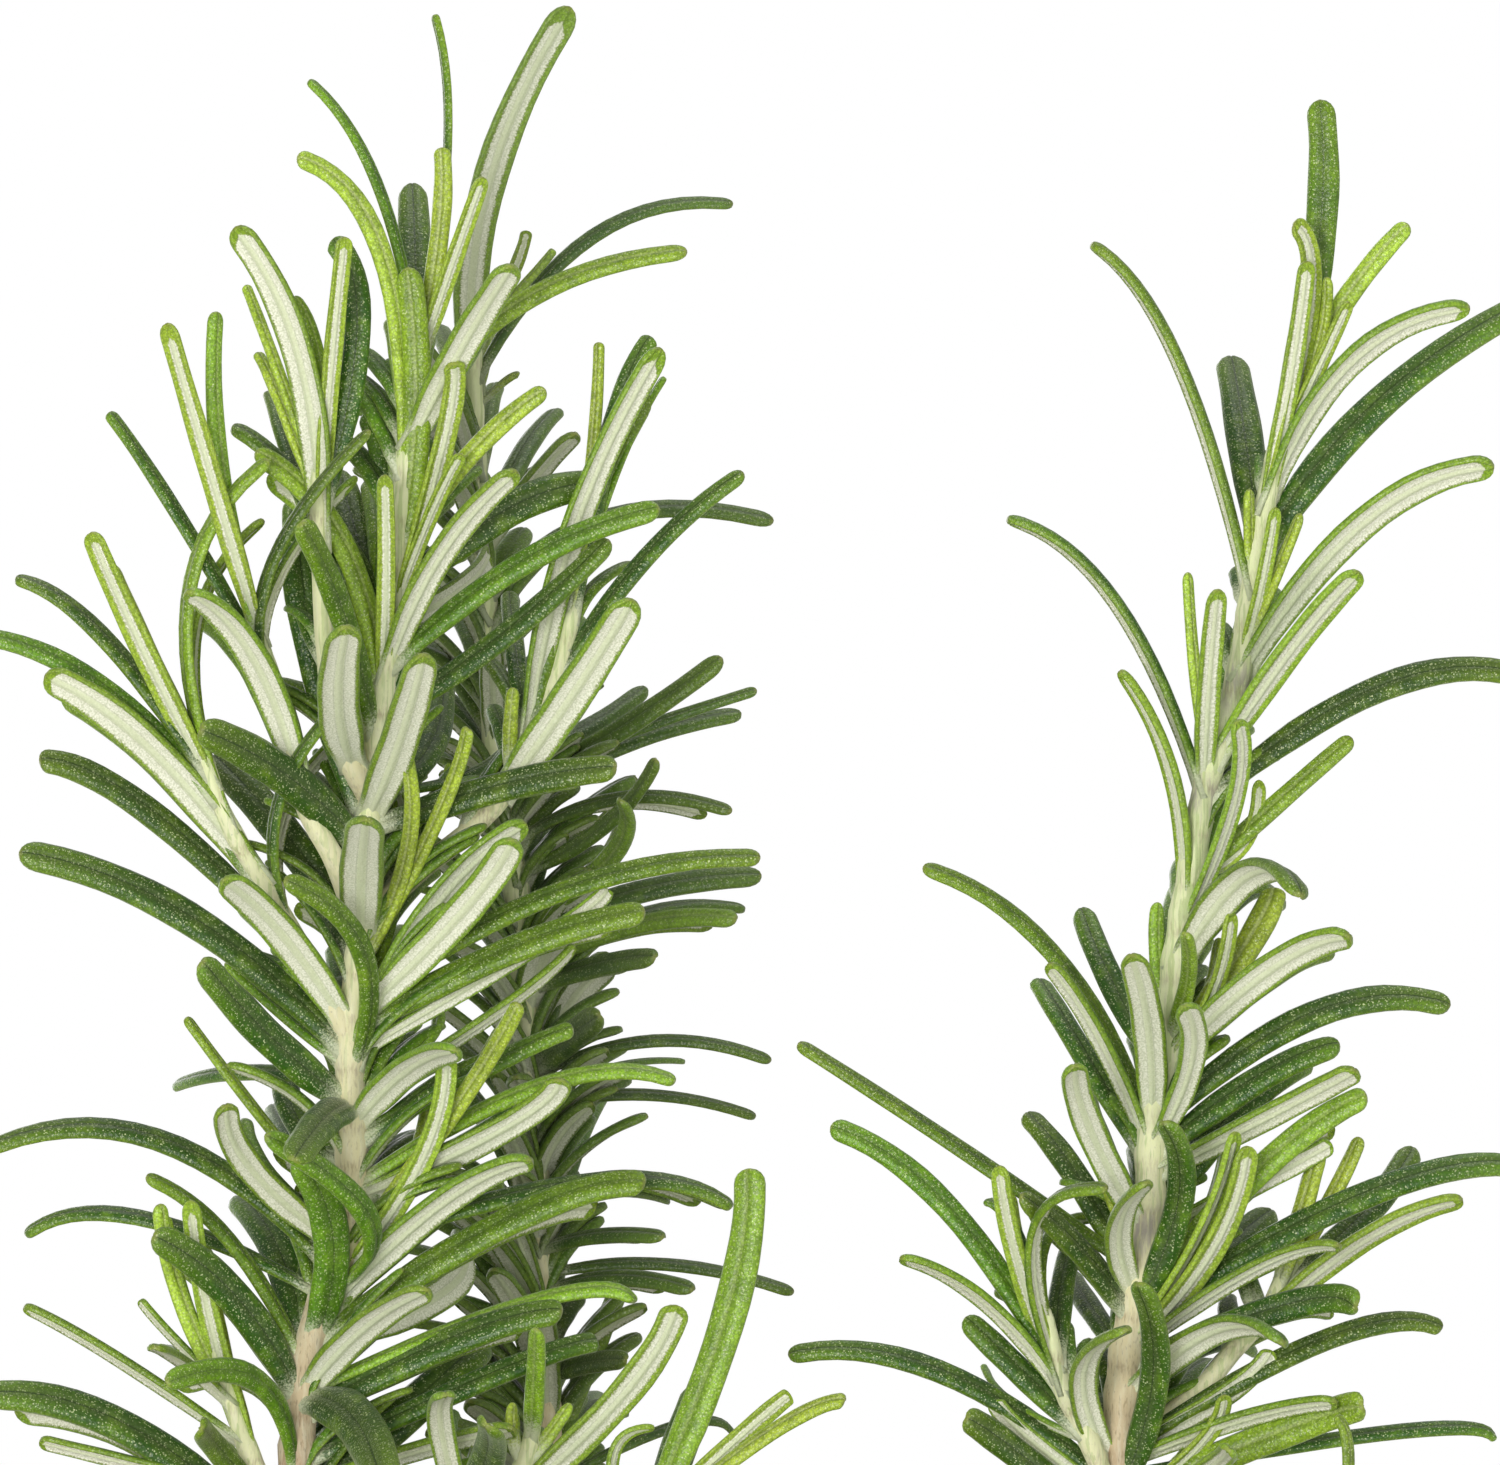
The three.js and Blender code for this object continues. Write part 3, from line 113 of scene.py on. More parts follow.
# Each axis is a list of points [x, y, z] from its foot upwards, and radii gives its foot and its top.
# leaves are the ones seen from the front, each
#   [root height, middle x, middle z, tip x, tip z, lean, width, turn, age]:
# lean is -1 towards the front to +1 away from it, and turn is the angle between the leaf's upper face
# and the direction to the front: 0 shows the upper face, 90 the edge and 180 the pale underside.
# lower says where further leaves grow in crossed pairs.
LEFT = {
  "name": "shoot_left",
  "axes": {
    "main": {"radii": [2.1, 0.75], "points": [
      *foot(-19, -5), [-24, -4.6, 116], [-30.5, -3, 140], [-35, -1, 162], [-34.9, 0, 180],
      [-33.6, 0.4, 190.4], [-30.8, 0.2, 198.8], [-30.3, 0, 205.4], [-30.4, -0.2, 211.3], [-30.3, 0, 216.3],
      [-29.4, 0.3, 224.6], [-28.8, 0.4, 235.4], [-27.6, 0.2, 245.4], [-26.6, 0, 255.4], [-25.6, 0, 264.6],
      [-24.2, 0.2, 275.5]]},
    "low": {"radii": [1, 0.6], "points": [
      [-30.3, 0, 215.5], [-34.6, -1, 223.3], [-37.5, -1.8, 228.3], [-40, -2.4, 232.5], [-41.7, -2.8, 236.3],
      [-42.5, -3, 239.5]]},
    "side": {"radii": [1, 0.6], "points": [
      [-29.5, 0.3, 224.5], [-31.7, -1.4, 230.4], [-33.8, -2.4, 234.2], [-34.8, -3, 237.9],
      [-35.8, -3.4, 242.1], [-37.1, -3.8, 246.3], [-38.1, -4, 249.8]]},
    "upper": {"radii": [1, 0.6], "points": [
      [-28.8, 0.4, 235.6], [-30.3, -0.8, 238.8], [-31.7, -1.6, 243.8], [-32.5, -2, 248.8],
      [-32.9, -2.2, 255.4], [-33.1, -2.4, 263]]},
    "right": {"radii": [1, 0.6], "points": [
      [-29.4, 0.3, 225], [-24.6, 1.6, 229.6], [-20.4, 2.6, 232.9], [-17.5, 3.2, 236.3],
      [-15.4, 3.6, 240.4], [-13.3, 3.8, 245.4], [-11.7, 4, 251.5]]},
    "lowest": {"radii": [1, 0.6], "points": [
      [-35.2, -0.6, 171], [-37.5, -1.4, 177.9], [-39.2, -2, 182.1], [-40.6, -2.4, 186.3],
      [-41.7, -2.6, 190]]},
    "inner": {"radii": [1, 0.6], "points": [
      [-35.2, -0.8, 165], [-27, -4, 169.5], [-20, -5.6, 174.4], [-16, -6.2, 180], [-14.6, -6.6, 187]]},
  },
  "leaves": {
    "main": [
      [272, -22.3, 289.3, -23.4, 300.9, 0.5, 1.4, 80, MID],
      [272, -28.1, 286.7, -33.9, 295.4, 0.4, 1.5, 60, MID],
      [262, -27.7, 280.9, -34.8, 288.9, -0.15, 1.9, 30, YOUNG],
      [270, -25, 279.2, -25.3, 286.8, 0.6, 2.8, 10, DARK],
      [255, -24.9, 267.1, -25.6, 279.8, -0.15, 2.6, 15, FRESH],
      [273, -22.9, 283.2, -22.8, 289.8, 0, 1.7, 20, YOUNG],
      [272, -21.9, 280, -19.3, 287.3, -0.3, 1.7, 150, YOUNG],
      [264.5, -21, 273.3, -16.9, 279.8, -0.7, 3.1, 152, MID],
      [268, -15.4, 277.3, -2.3, 281.1, -0.1, 2, 35, FRESH],
      [249, -22.6, 265.1, -21.8, 271.7, -0.3, 2.1, 140, YOUNG],
      [250, -23.8, 258.8, -21.1, 264.2, -0.4, 1.4, 150, YOUNG],
      [256, -20.4, 264.2, -14.1, 269.6, -0.1, 1.9, 30, YOUNG],
      [245, -23.1, 255.4, -16.5, 262.8, -0.5, 2.9, 135, MID],
      [252, -17, 259.7, -9, 261.6, 0.1, 3, 20, DARK],
      [246, -16.3, 255, -4.6, 259.7, -0.2, 2.4, 40, MID],
      [242, -17.5, 249.2, -8.8, 257.1, 0, 2.4, 40, DARK],
      [250, -21.3, 252.9, -19, 256, 0.5, 2.4, 150, DARK],
      [234, -26.4, 240, -24.2, 247.5, -0.9, 3.5, 162, MID],
      [236, -23.9, 239.6, -22.9, 246.3, 0.6, 2.5, 10, DARK],
      [221, -25.6, 231.3, -26.1, 240.4, -0.5, 1.5, 20, YOUNG],
      [221, -23.1, 234, -20.6, 241.4, -0.45, 1.5, 25, YOUNG],
      [233, -17.1, 236.7, -8.2, 238.1, -0.3, 2.8, 30, DARK],
      [236, -21.7, 237.1, -17.5, 239.6, 0.3, 1.4, 60, DARK],
      [247, -33.8, 260.3, -40.3, 266.5, 0.1, 2.4, 45, DARK],
      [243, -30.8, 256.4, -38.3, 264.4, -0.4, 2.5, 40, FRESH],
      [247, -29.4, 255.4, -31.7, 262.9, 0.5, 3.2, 10, DARK],
      [224, -29.4, 229.4, -28.9, 233.8, -0.8, 3.7, 178, DARK],
      [213, -23.9, 225.8, -15.7, 233.5, -0.4, 3.2, 140, MID],
      [217, -21.3, 225.8, -16.8, 232.1, -0.5, 3.1, 165, MID],
      [219, -27.1, 226.7, -26.4, 236.3, 0.3, 1.9, 15, FRESH],
      [212, -29.2, 222.5, -35.8, 228.8, -0.5, 2.1, 30, MID],
      [216, -35.9, 224.1, -40.8, 228.8, -0.5, 3, 165, MID],
      [214, -43.8, 225.6, -58, 231, -0.1, 3, 35, DARK],
      [231, -35.6, 237.3, -42.8, 241.3, -0.6, 3.3, 20, DARK],
      [210, -37.2, 215.7, -42.7, 222, -0.5, 3, 25, DARK],
      [213, -35.8, 217.3, -40.8, 221.9, 0, 1.5, 70, MID],
      [200, -38.3, 209.6, -44.1, 217.3, 0, 1.4, 60, FRESH],
      [212, -39.1, 212.7, -45.1, 211.5, 0.7, 1.9, 60, DARK],
      [196, -46.3, 207.1, -61.1, 206.1, 0, 2.4, 40, DARK],
      [198, -38.6, 204.7, -40.6, 210, -0.4, 2.5, 165, MID],
      [209.6, -32.3, 209, -35, 205.5, -0.6, 3.1, 10, DARK],
      [205, -35, 207.5, -36.9, 209.8, 0.5, 2.1, 30, DARK],
      [203, -35.3, 209.6, -35.4, 214.6, 0.5, 2.4, 20, DARK],
      [194.5, -28.7, 200.3, -37.4, 207.6, -0.5, 2.3, 40, MID],
      [208, -25.7, 212.9, -21.5, 214.6, -0.5, 3.1, 140, MID],
      [210, -23.6, 215.7, -24.7, 218.7, 0.2, 1.4, 60, FRESH],
      [194, -24.6, 205, -22.4, 214.2, -0.6, 2.1, 150, YOUNG],
      [197, -21.7, 209.6, -16.3, 218.5, -0.5, 1.7, 30, YOUNG],
      [207, -18.8, 213.3, -11.8, 216.4, 0, 2.1, 40, MID],
      [202, -17.5, 208.1, -12.9, 212.1, -0.2, 2.8, 150, MID],
      [206, -25, 210.4, -21.3, 212.9, 0, 2, 50, DARK],
      [218, -12.9, 227.8, 3.8, 230.6, 0, 2.1, 40, MID],
      [216, -17.1, 222.9, -5.8, 226.1, -0.3, 2.8, 35, MID],
      [214, -14.2, 223.8, -9.1, 228, 0.2, 1.8, 150, MID],
      [210, -17.9, 217.9, -11.7, 223.3, 0.1, 2, 120, MID],
      [203, -14.2, 211.7, -3.3, 211.9, 0, 2, 50, FRESH],
      [192, -22.9, 201.7, -15.3, 205.4, -0.5, 3.3, 140, MID],
      [190, -16.7, 200.6, -5.8, 203.5, -0.4, 3, 35, MID],
      [198, -10.2, 203.6, 1.4, 201.4, 0.1, 2.3, 50, DARK],
      [186, -14.6, 193.8, -6.8, 193.5, -0.1, 2, 60, FRESH],
      [184, -21.3, 190.6, -12.7, 192.8, -0.4, 3.1, 35, DARK],
      [180, -17.5, 187.9, -9.9, 190.2, 0.3, 2.3, 35, DARK],
      [185.5, -29.4, 191.3, -23.9, 194.7, -0.6, 3, 150, MID],
      [185.3, -30, 183.9, -27.2, 177.8, -0.8, 4, 10, DARK],
      [178, -23.5, 181.6, -16.8, 183.1, -0.5, 2.6, 120, MID],
      [172, -48.8, 183, -60.9, 185.8, -0.2, 3.3, 35, DARK],
      [185, -39.8, 193.8, -46.7, 199.2, -0.5, 3.1, 25, DARK],
      [188, -40.4, 198.7, -47.4, 204, -0.1, 2.1, 60, MID],
      [194, -47.9, 200.6, -57.5, 199.1, 0.5, 2, 60, DARK],
      [178, -37.8, 186.9, -45.6, 187, -0.6, 2.2, 30, MID],
      [189.5, -31.9, 198.6, -34.8, 205.8, -0.3, 3.2, 15, MID],
      [189, -36.4, 197.7, -40, 202.1, 0.6, 3.2, 20, DARK],
    ],
    "low": [
      [232.5, -44, 251.4, -37.1, 263.7, -0.2, 2.1, 70, FRESH],
      [237, -51.1, 249.2, -58.3, 253.8, 0.1, 2.1, 45, DARK],
      [236, -47.8, 248.4, -51.9, 257.7, -0.2, 2.3, 150, YOUNG],
      [235, -51.3, 245.1, -61.4, 249.1, 0, 2.1, 40, MID],
      [228, -46.9, 239.6, -55.8, 245.8, -0.4, 3.3, 150, MID],
      [222, -47.4, 234.7, -56.3, 238.7, -0.1, 2.7, 40, DARK],
      [224, -36.5, 234.7, -30.2, 244.2, -0.2, 1.6, 60, DARK],
    ],
    "side": [
      [248, -41.7, 261.7, -45.6, 275.1, -0.2, 2, 160, YOUNG],
      [248, -41.1, 262.9, -41.5, 276.1, 0, 1.8, 40, FRESH],
      [242, -37.5, 253.4, -28.7, 266.2, -0.3, 1.7, 60, DARK],
      [236, -38.4, 247.3, -43.8, 252.7, -0.5, 3.1, 155, MID],
      [246, -44.9, 259.5, -50.5, 267.7, 0.3, 1.6, 45, DARK],
    ],
    "upper": [
      [256, -34.5, 271.9, -40, 283.1, -0.3, 2.9, 150, MID],
      [261, -33, 271.3, -35.2, 277.3, 0, 1.8, 40, FRESH],
      [258, -31.9, 271.7, -30.8, 282.3, -0.1, 1.7, 150, YOUNG],
      [259, -29.8, 274.3, -31.9, 282.1, 0.3, 2.3, 10, DARK],
      [262, -36.7, 272.1, -39.1, 278.3, 0.3, 1.1, 30, YOUNG],
      [260, -36.3, 268.8, -38.1, 272.6, 0.3, 1.2, 30, YOUNG],
      [256, -35.6, 264.6, -37.1, 269.3, 0.4, 1.8, 40, DARK],
      [246, -34.6, 252.9, -35.3, 260.4, 0.4, 1.9, 20, DARK],
      [238, -31.3, 243.3, -30.6, 249.8, -0.9, 3.6, 178, MID],
    ],
    "right": [
      [245, -5.9, 255.5, 2.4, 262.7, 0, 1.9, 40, DARK],
      [235.5, -11.9, 244.2, -6.9, 252.1, -0.5, 3.5, 160, MID],
      [240, -11.9, 257.5, -4.5, 273.1, -0.2, 2.9, 145, MID],
      [250, -8.6, 266.3, -5.3, 274, 0.3, 2, 15, DARK],
      [250, -10.3, 263.8, -9.7, 273.6, 0, 1.2, 30, YOUNG],
      [250, -8.5, 262.1, -4.2, 270.7, 0.2, 1.1, 60, MID],
      [237, -17.1, 240.8, -16.8, 244.8, -0.4, 1.3, 20, YOUNG],
      [240, -16.7, 247.9, -17.2, 252.7, 0.4, 1.7, 20, DARK],
    ],
    "lowest": [
      [181.5, -50, 189, -57.6, 193.2, 0, 2.3, 112, MID],
      [177.5, -48.8, 180.2, -56.3, 182, 0, 2.2, 115, MID],
      [184.5, -44.4, 193.8, -46.2, 201.8, -0.2, 1.8, 40, YOUNG],
      [179, -41.7, 190.8, -43.6, 202.1, -0.2, 2.1, 150, YOUNG],
      [186, -45.3, 190.8, -47.9, 193.8, 0, 1.5, 110, MID],
      [185, -44.2, 188.6, -46.5, 189.9, -0.4, 2, 120, MID],
      [176, -41.3, 181.3, -42.7, 183.2, -0.3, 2.4, 30, MID],
    ],
    "inner": [
      [182, -15, 186.3, -14.8, 191.5, -0.2, 1.8, 20, FRESH],
      [180, -16.8, 182.5, -16.8, 185.3, -0.2, 1.2, 30, YOUNG],
      [180, -14.2, 182.1, -12, 185.2, 0, 1.4, 30, YOUNG],
      [174, -22.7, 182.9, -22.3, 186, -0.4, 2.3, 170, MID],
      [172, -19.1, 180, -18.9, 183.6, -0.7, 3.1, 15, DARK],
      [175, -8, 185.5, -3.2, 193.4, -0.1, 2.9, 150, FRESH],
    ],
  },
  "lower": {"axis": "main", "from": 113, "to": 174, "step": 14, "seed": 11},
}

BACK = {
  "name": "shoot_back",
  "axes": {
    "main": {"radii": [1.9, 0.7], "points": [
      *foot(-6, 15), [-8.4, 18, 120], [-11.6, 23, 150], [-14, 26, 180], [-14.8, 27, 195],
      [-15.4, 27.8, 209], [-16.1, 28, 222], [-17.2, 28, 232], [-18.6, 28, 241], [-19.2, 27.6, 252],
      [-20.1, 27, 266], [-20.4, 26.6, 276]]},
  },
  "leaves": {
    "main": [
      [269, -19.3, 285.8, -12.1, 301.8, -0.15, 3, 165, FRESH],
      [270, -10.6, 282.4, 1.5, 285.3, 0.2, 1.6, 50, DARK],
      [273, -17.1, 279.2, -15.8, 283.1, 0, 1.2, 150, YOUNG],
      [274, -15.8, 278.8, -13.5, 281.5, 0, 1.1, 60, YOUNG],
      [268, -17.7, 270.4, -16.4, 271, 0, 0.9, 60, YOUNG],
      [256, -15.5, 261.8, -11.7, 266, -0.2, 2.5, 120, MID],
      [252, -9, 259.1, 4.9, 258.7, 0, 2, 50, DARK],
      [236, -8.6, 240.9, 0.6, 247.3, -0.1, 2.2, 40, MID],
      [237, -7.4, 241, 3.5, 244.6, 0, 1.2, 40, DARK],
      [235, -7.8, 240.1, 2.2, 242.6, 0.1, 2.2, 40, DARK],
      [239, -12.1, 240.8, -5.8, 244.8, 0.2, 2, 60, DARK],
      [229, -9.3, 233.2, -4.9, 238.8, -0.2, 1.5, 30, MID],
      [231.5, -8.3, 235.5, 1.4, 234.4, -0.2, 1.5, 50, DARK],
      [225, -8.6, 230.8, -7.9, 235.4, -0.3, 1.8, 20, FRESH],
      [224, -6.4, 227.7, 3.9, 229, 0, 2.5, 50, DARK],
      [221, -6.7, 224.9, 1.8, 225.4, -0.3, 2, 50, FRESH],
      [220, -6.7, 225.6, 2.5, 226.2, 0.2, 1.8, 50, DARK],
      [219.5, -9.9, 221.5, -5, 222.2, -0.2, 2.4, 50, DARK],
      [212.5, -12.5, 215.2, -9.6, 217.4, -0.2, 2.6, 20, DARK],
      [212, -5.4, 215.2, 4.7, 213.5, 0, 1.5, 60, DARK],
      [209.5, -6, 210.7, 3.4, 208.8, 0.1, 1.5, 60, DARK],
      [210, -9, 212.9, -2.6, 213.4, 0.3, 0.9, 60, MID],
      [202, -7, 203.8, 1.4, 201.4, -0.3, 1.7, 50, FRESH],
      [200, -9.6, 202.4, -3.9, 201.6, 0.2, 1.6, 60, DARK],
      [197.5, -9.8, 198.9, -4.3, 198.8, -0.2, 2.1, 60, DARK],
      [187, -10.9, 188.2, -7.4, 188.6, -0.2, 2, 40, DARK],
      [180, -10.6, 188.3, -7.7, 195.3, 0.2, 2, 20, FRESH],
      [195.5, -4.3, 196.5, 6.6, 194.1, 0, 1.6, 60, DARK],
      [194, -8.5, 195.4, -1.8, 194.4, -0.2, 2.1, 60, DARK],
      [178, -3.1, 183, 1.4, 182.2, 0.1, 1.4, 60, DARK],
    ],
  },
  "lower": {"axis": "main", "from": 113, "to": 268, "step": 11, "seed": 23, "hidden": True},
}

RIGHT = {
  "name": "shoot_right",
  "axes": {
    "main": {"radii": [2.1, 0.75], "points": [
      *foot(18, 2), [23.6, 1.8, 118], [30, 1, 143], [33.2, 0.3, 165], [33.6, 0, 180],
      [34.3, 0, 189.6], [36.1, 0.2, 199.6], [36.4, 0.3, 207.9], [37.5, 0.2, 215.4], [38.8, 0, 224.6],
      [40, 0, 231.3], [41, 0.1, 237.1], [43.3, 0.2, 244.6], [44.6, 0.1, 252.1], [45.6, 0, 258.8],
      [47.5, 0, 267.1], [49.2, 0.2, 275]]},
    "left": {"radii": [1, 0.6], "points": [
      [33.4, 0.2, 172], [32.4, -1.4, 178.6], [31, -2.2, 182.4], [29.4, -2.8, 185.4], [28.3, -3.2, 188.8],
      [27.5, -3.4, 193]]},
    "right": {"radii": [1, 0.6], "points": [
      [33.8, 0, 181], [40, 2, 185.8], [43.3, 2.8, 189.6], [46.3, 3.4, 193.3], [47.9, 3.6, 197]]},
  },
  "leaves": {
    "main": [
      [270, 50.5, 283, 50.4, 293.8, 0.2, 2.7, 10, MID],
      [252, 38.5, 272.1, 31.3, 281.7, 0, 3, 103, MID],
      [257, 44.1, 266.2, 43.1, 272.3, 0.6, 3.1, 5, DARK],
      [259, 49.5, 276.2, 48.2, 283.3, -0.2, 2.1, 130, YOUNG],
      [258, 47.9, 270.3, 49.3, 280.3, -0.3, 1.8, 160, FRESH],
      [269, 50.3, 273.3, 51, 279, -0.2, 1.2, 20, YOUNG],
      [264, 50, 270.8, 52.8, 276.9, -0.3, 1.5, 140, YOUNG],
      [270, 53.1, 277.9, 57.8, 283.4, 0, 1.9, 25, YOUNG],
      [259, 52.7, 271.6, 62.9, 276.4, -0.2, 3.1, 124, MID],
      [255, 54.5, 267.7, 68.1, 277, 0.2, 3.3, 30, DARK],
      [245, 54, 258.5, 64.9, 263.2, -0.3, 3.3, 135, MID],
      [253, 44.6, 257.1, 44.5, 261.3, -0.2, 1.2, 30, YOUNG],
      [248, 46.4, 253.3, 48.8, 259.3, -0.2, 1.5, 60, YOUNG],
      [246, 45.3, 252.1, 46.7, 259.8, -0.3, 1.5, 150, YOUNG],
      [235.5, 33.4, 251.8, 24.3, 258.8, 0, 3, 103, DARK],
      [238, 40.1, 245.4, 39.4, 254.4, 0, 1.2, 30, YOUNG],
      [236, 41.1, 244.6, 41.8, 252.9, -0.4, 2.1, 160, FRESH],
      [238, 48, 248, 53.6, 254.4, -0.2, 3.1, 130, FRESH],
      [235, 55.3, 244.7, 67.1, 245.8, 0.1, 2.5, 30, DARK],
      [228.5, 47, 235.3, 53.1, 240.6, 0, 1.9, 35, FRESH],
      [226, 38.1, 237.3, 33.7, 246.2, -0.1, 2.6, 115, FRESH],
      [224, 43.2, 235.1, 43.4, 241.9, -0.3, 2.2, 130, FRESH],
      [229, 44, 231.7, 45.3, 237.1, 0, 1.4, 150, YOUNG],
      [221, 44.4, 229.2, 48.6, 227.4, -0.6, 3.3, 150, DARK],
      [213, 44.2, 223, 46.6, 228, 0.1, 2.6, 35, YOUNG],
      [213, 41.3, 218.8, 43, 226.1, -0.3, 1.7, 130, YOUNG],
      [215, 39.3, 220, 39.1, 224.4, -0.3, 1.5, 20, FRESH],
      [213, 46.4, 221.4, 52.8, 224, -0.3, 3.1, 150, MID],
      [208, 28.2, 222.6, 17.3, 229.8, -0.1, 2.1, 50, MID],
      [213, 33.1, 220.2, 30.6, 226.3, 0.3, 2.3, 15, DARK],
      [217, 36.9, 222.1, 36.9, 226.9, 0, 1.5, 30, FRESH],
      [208, 36.1, 216.3, 34.6, 222.5, -0.5, 2.8, 168, MID],
      [206, 32.1, 215.4, 27.8, 221.8, -0.1, 2.5, 115, MID],
      [205, 30.3, 215, 27, 220.3, 0.4, 2.4, 40, DARK],
      [206, 39.6, 213.5, 39, 218.3, -0.4, 2.6, 150, MID],
      [208, 49.8, 217.5, 61.3, 218.2, 0.1, 2.6, 30, DARK],
      [205.5, 45.2, 212.1, 52.1, 215, 0, 2.9, 40, DARK],
      [204, 47.1, 209.6, 53.3, 212.9, -0.2, 2.9, 130, MID],
      [193, 45.8, 205, 54.3, 210.8, -0.3, 2.6, 25, FRESH],
      [199, 45.8, 203.8, 51.4, 206.8, 0, 2.1, 150, MID],
      [190, 40.4, 199.2, 43.3, 207.8, -0.5, 2.1, 110, YOUNG],
      [189.5, 41.4, 197.9, 44.3, 206.6, -0.5, 2.6, 140, YOUNG],
      [192, 38.7, 202.2, 37.3, 208.7, -0.4, 2.5, 20, DARK],
      [194, 33.6, 199.6, 35.9, 203.6, -0.5, 2.6, 150, MID],
      [198, 33.1, 202.1, 32.9, 205.7, -0.2, 1.2, 30, YOUNG],
      [196, 20.4, 206.4, 6.9, 215.1, 0.2, 1.9, 50, MID],
      [192, 30.8, 197.5, 25.4, 202.5, -0.2, 2.5, 35, DARK],
      [178, 18.8, 187.8, 6.1, 189.1, 0.1, 2.2, 35, DARK],
      [174, 25.4, 180.8, 20.9, 184, -0.1, 2.7, 30, DARK],
      [177, 26.3, 182.1, 23.3, 185.4, 0, 1.9, 150, MID],
      [179, 30.6, 187.4, 34.3, 191.4, -0.6, 2.6, 150, MID],
      [177, 36.6, 187.4, 35.2, 195.3, -0.5, 2.6, 15, DARK],
      [189, 45, 196.4, 51.9, 198.3, -0.3, 2.2, 125, MID],
      [192, 54.7, 202.7, 67.1, 204.8, 0.3, 2.6, 35, DARK],
      [188, 47.7, 193.3, 53.4, 193.3, -0.3, 2.6, 25, DARK],
      [185, 41.7, 191.3, 47.2, 190.2, -0.5, 3.1, 140, DARK],
      [181, 51, 190.5, 60.6, 191.3, 0.1, 2.1, 35, DARK],
      [180, 44.2, 183.9, 51.7, 185.3, -0.2, 2.4, 120, MID],
      [177, 47.5, 182.9, 53.9, 185, -0.5, 2.9, 25, FRESH],
      [179, 57, 182.8, 64.8, 182.2, 0.2, 1.7, 45, DARK],
      [176, 40.4, 181.7, 42.3, 185.8, -0.5, 1.8, 140, YOUNG],
      [175, 40.8, 179.6, 42.6, 181.4, -0.5, 2.1, 150, FRESH],
      [181, 42.5, 185.8, 46.3, 189.6, 0, 2, 160, MID],
      [199, 31.3, 207.9, 29.9, 213.3, -0.5, 2.6, 170, MID],
      [195, 30.3, 203.8, 26, 209.2, 0.2, 2.4, 20, DARK],
      [189, 31.4, 192.9, 29.6, 195.8, 0.4, 2.1, 30, DARK],
    ],
    "left": [
      [186, 26.6, 199.3, 32.6, 203.1, -0.4, 2.3, 110, MID],
      [187.5, 25.3, 196.7, 23.7, 205, -0.2, 2, 150, YOUNG],
      [187, 19.6, 201.3, 9.6, 208.2, 0, 2.2, 30, MID],
      [185.5, 22.5, 193.6, 15.4, 197.3, -0.1, 2.4, 120, MID],
      [182.5, 25.4, 187.9, 20.8, 192.3, 0, 2.5, 35, DARK],
      [182, 25, 185, 22.5, 188.1, 0.2, 1.4, 100, MID],
      [190, 25, 199.6, 22.4, 201.7, 0, 1.4, 50, DARK],
      [188, 28.9, 194.6, 30.4, 200, 0.4, 2.2, 20, DARK],
    ],
    "right": [
      [191, 54.2, 198.8, 62.3, 202.1, -0.1, 3, 125, FRESH],
      [195, 54.2, 200.8, 58.3, 206.3, 0.3, 2.5, 30, DARK],
      [195, 51.1, 201.7, 53.8, 207.3, 0, 1.7, 40, YOUNG],
      [194, 48.6, 200, 50.4, 206.4, -0.2, 1.9, 40, YOUNG],
    ],
  },
  "lower": {"axis": "main", "from": 113, "to": 168, "step": 14, "seed": 37},
}

# Shorter shoots, which fill the plant out below the tall ones and at its back.
MIDDLE = {
  "name": "shoot_middle",
  "axes": {"main": {"radii": [1.7, 0.8], "points": [
    *foot(-3, -14), [-5, -14, 122], [-7, -12.6, 148], [-6.6, -11, 176]]}},
  "leaves": {"main": [
    [173.5, 0.9, 191.8, 2.8, 204.8, 0, 3.2, 30, FRESH],
    [174.5, 2.1, 182.5, 6.3, 186, 0, 1.8, 150, YOUNG],
    [174, 4.6, 182.8, 10.8, 185.5, -0.1, 1.9, 60, YOUNG],
    [172, -8.5, 180.5, -5, 183.2, 0, 1.5, 120, FRESH],
  ]},
  "lower": {"axis": "main", "from": 113, "to": 168, "step": 10, "seed": 41},
}

FRONT_RIGHT = {
  "name": "shoot_front_right",
  "axes": {"main": {"radii": [1.7, 0.8], "points": [
    *foot(30, -22), [36, -24, 122], [46, -23, 150], [52.5, -20, 177]]}},
  "leaves": {"main": [[175, 52.6, 181.3, 51.5, 184.3, 0, 1.2, 40, FRESH]]},
  "lower": {"axis": "main", "from": 113, "to": 168, "step": 10, "seed": 53},
}


def short_shoot(name, seed, points):
    """A low shoot that the photograph doesn't show, with crossed pairs of leaves only."""
    lower = {"axis": "main", "from": 112, "to": points[-1][2] - 1, "step": 10, "seed": seed}
    return {"name": name, "axes": {"main": {"radii": [1.6, 0.8], "points": points}},
            "leaves": {"main": []}, "lower": lower}


SHOOTS = [
    LEFT,
    RIGHT,
    BACK,
    MIDDLE,
    FRONT_RIGHT,
    short_shoot("shoot_back_right", 61, [*foot(24, 26), [29, 31, 122], [33, 35, 146], [34, 36, 166]]),
    short_shoot("shoot_back_left", 67, [*foot(-30, 22), [-36, 27, 120], [-41, 30, 142], [-42, 31, 160]]),
    short_shoot("shoot_front_left", 71,
                [*foot(-30, -28), [-36, -33, 118], [-40, -36, 138], [-41, -36, 152]]),
    short_shoot("shoot_front", 79, [*foot(13, -36), [15, -41, 117], [16, -43, 134], [15, -43, 148]]),
]


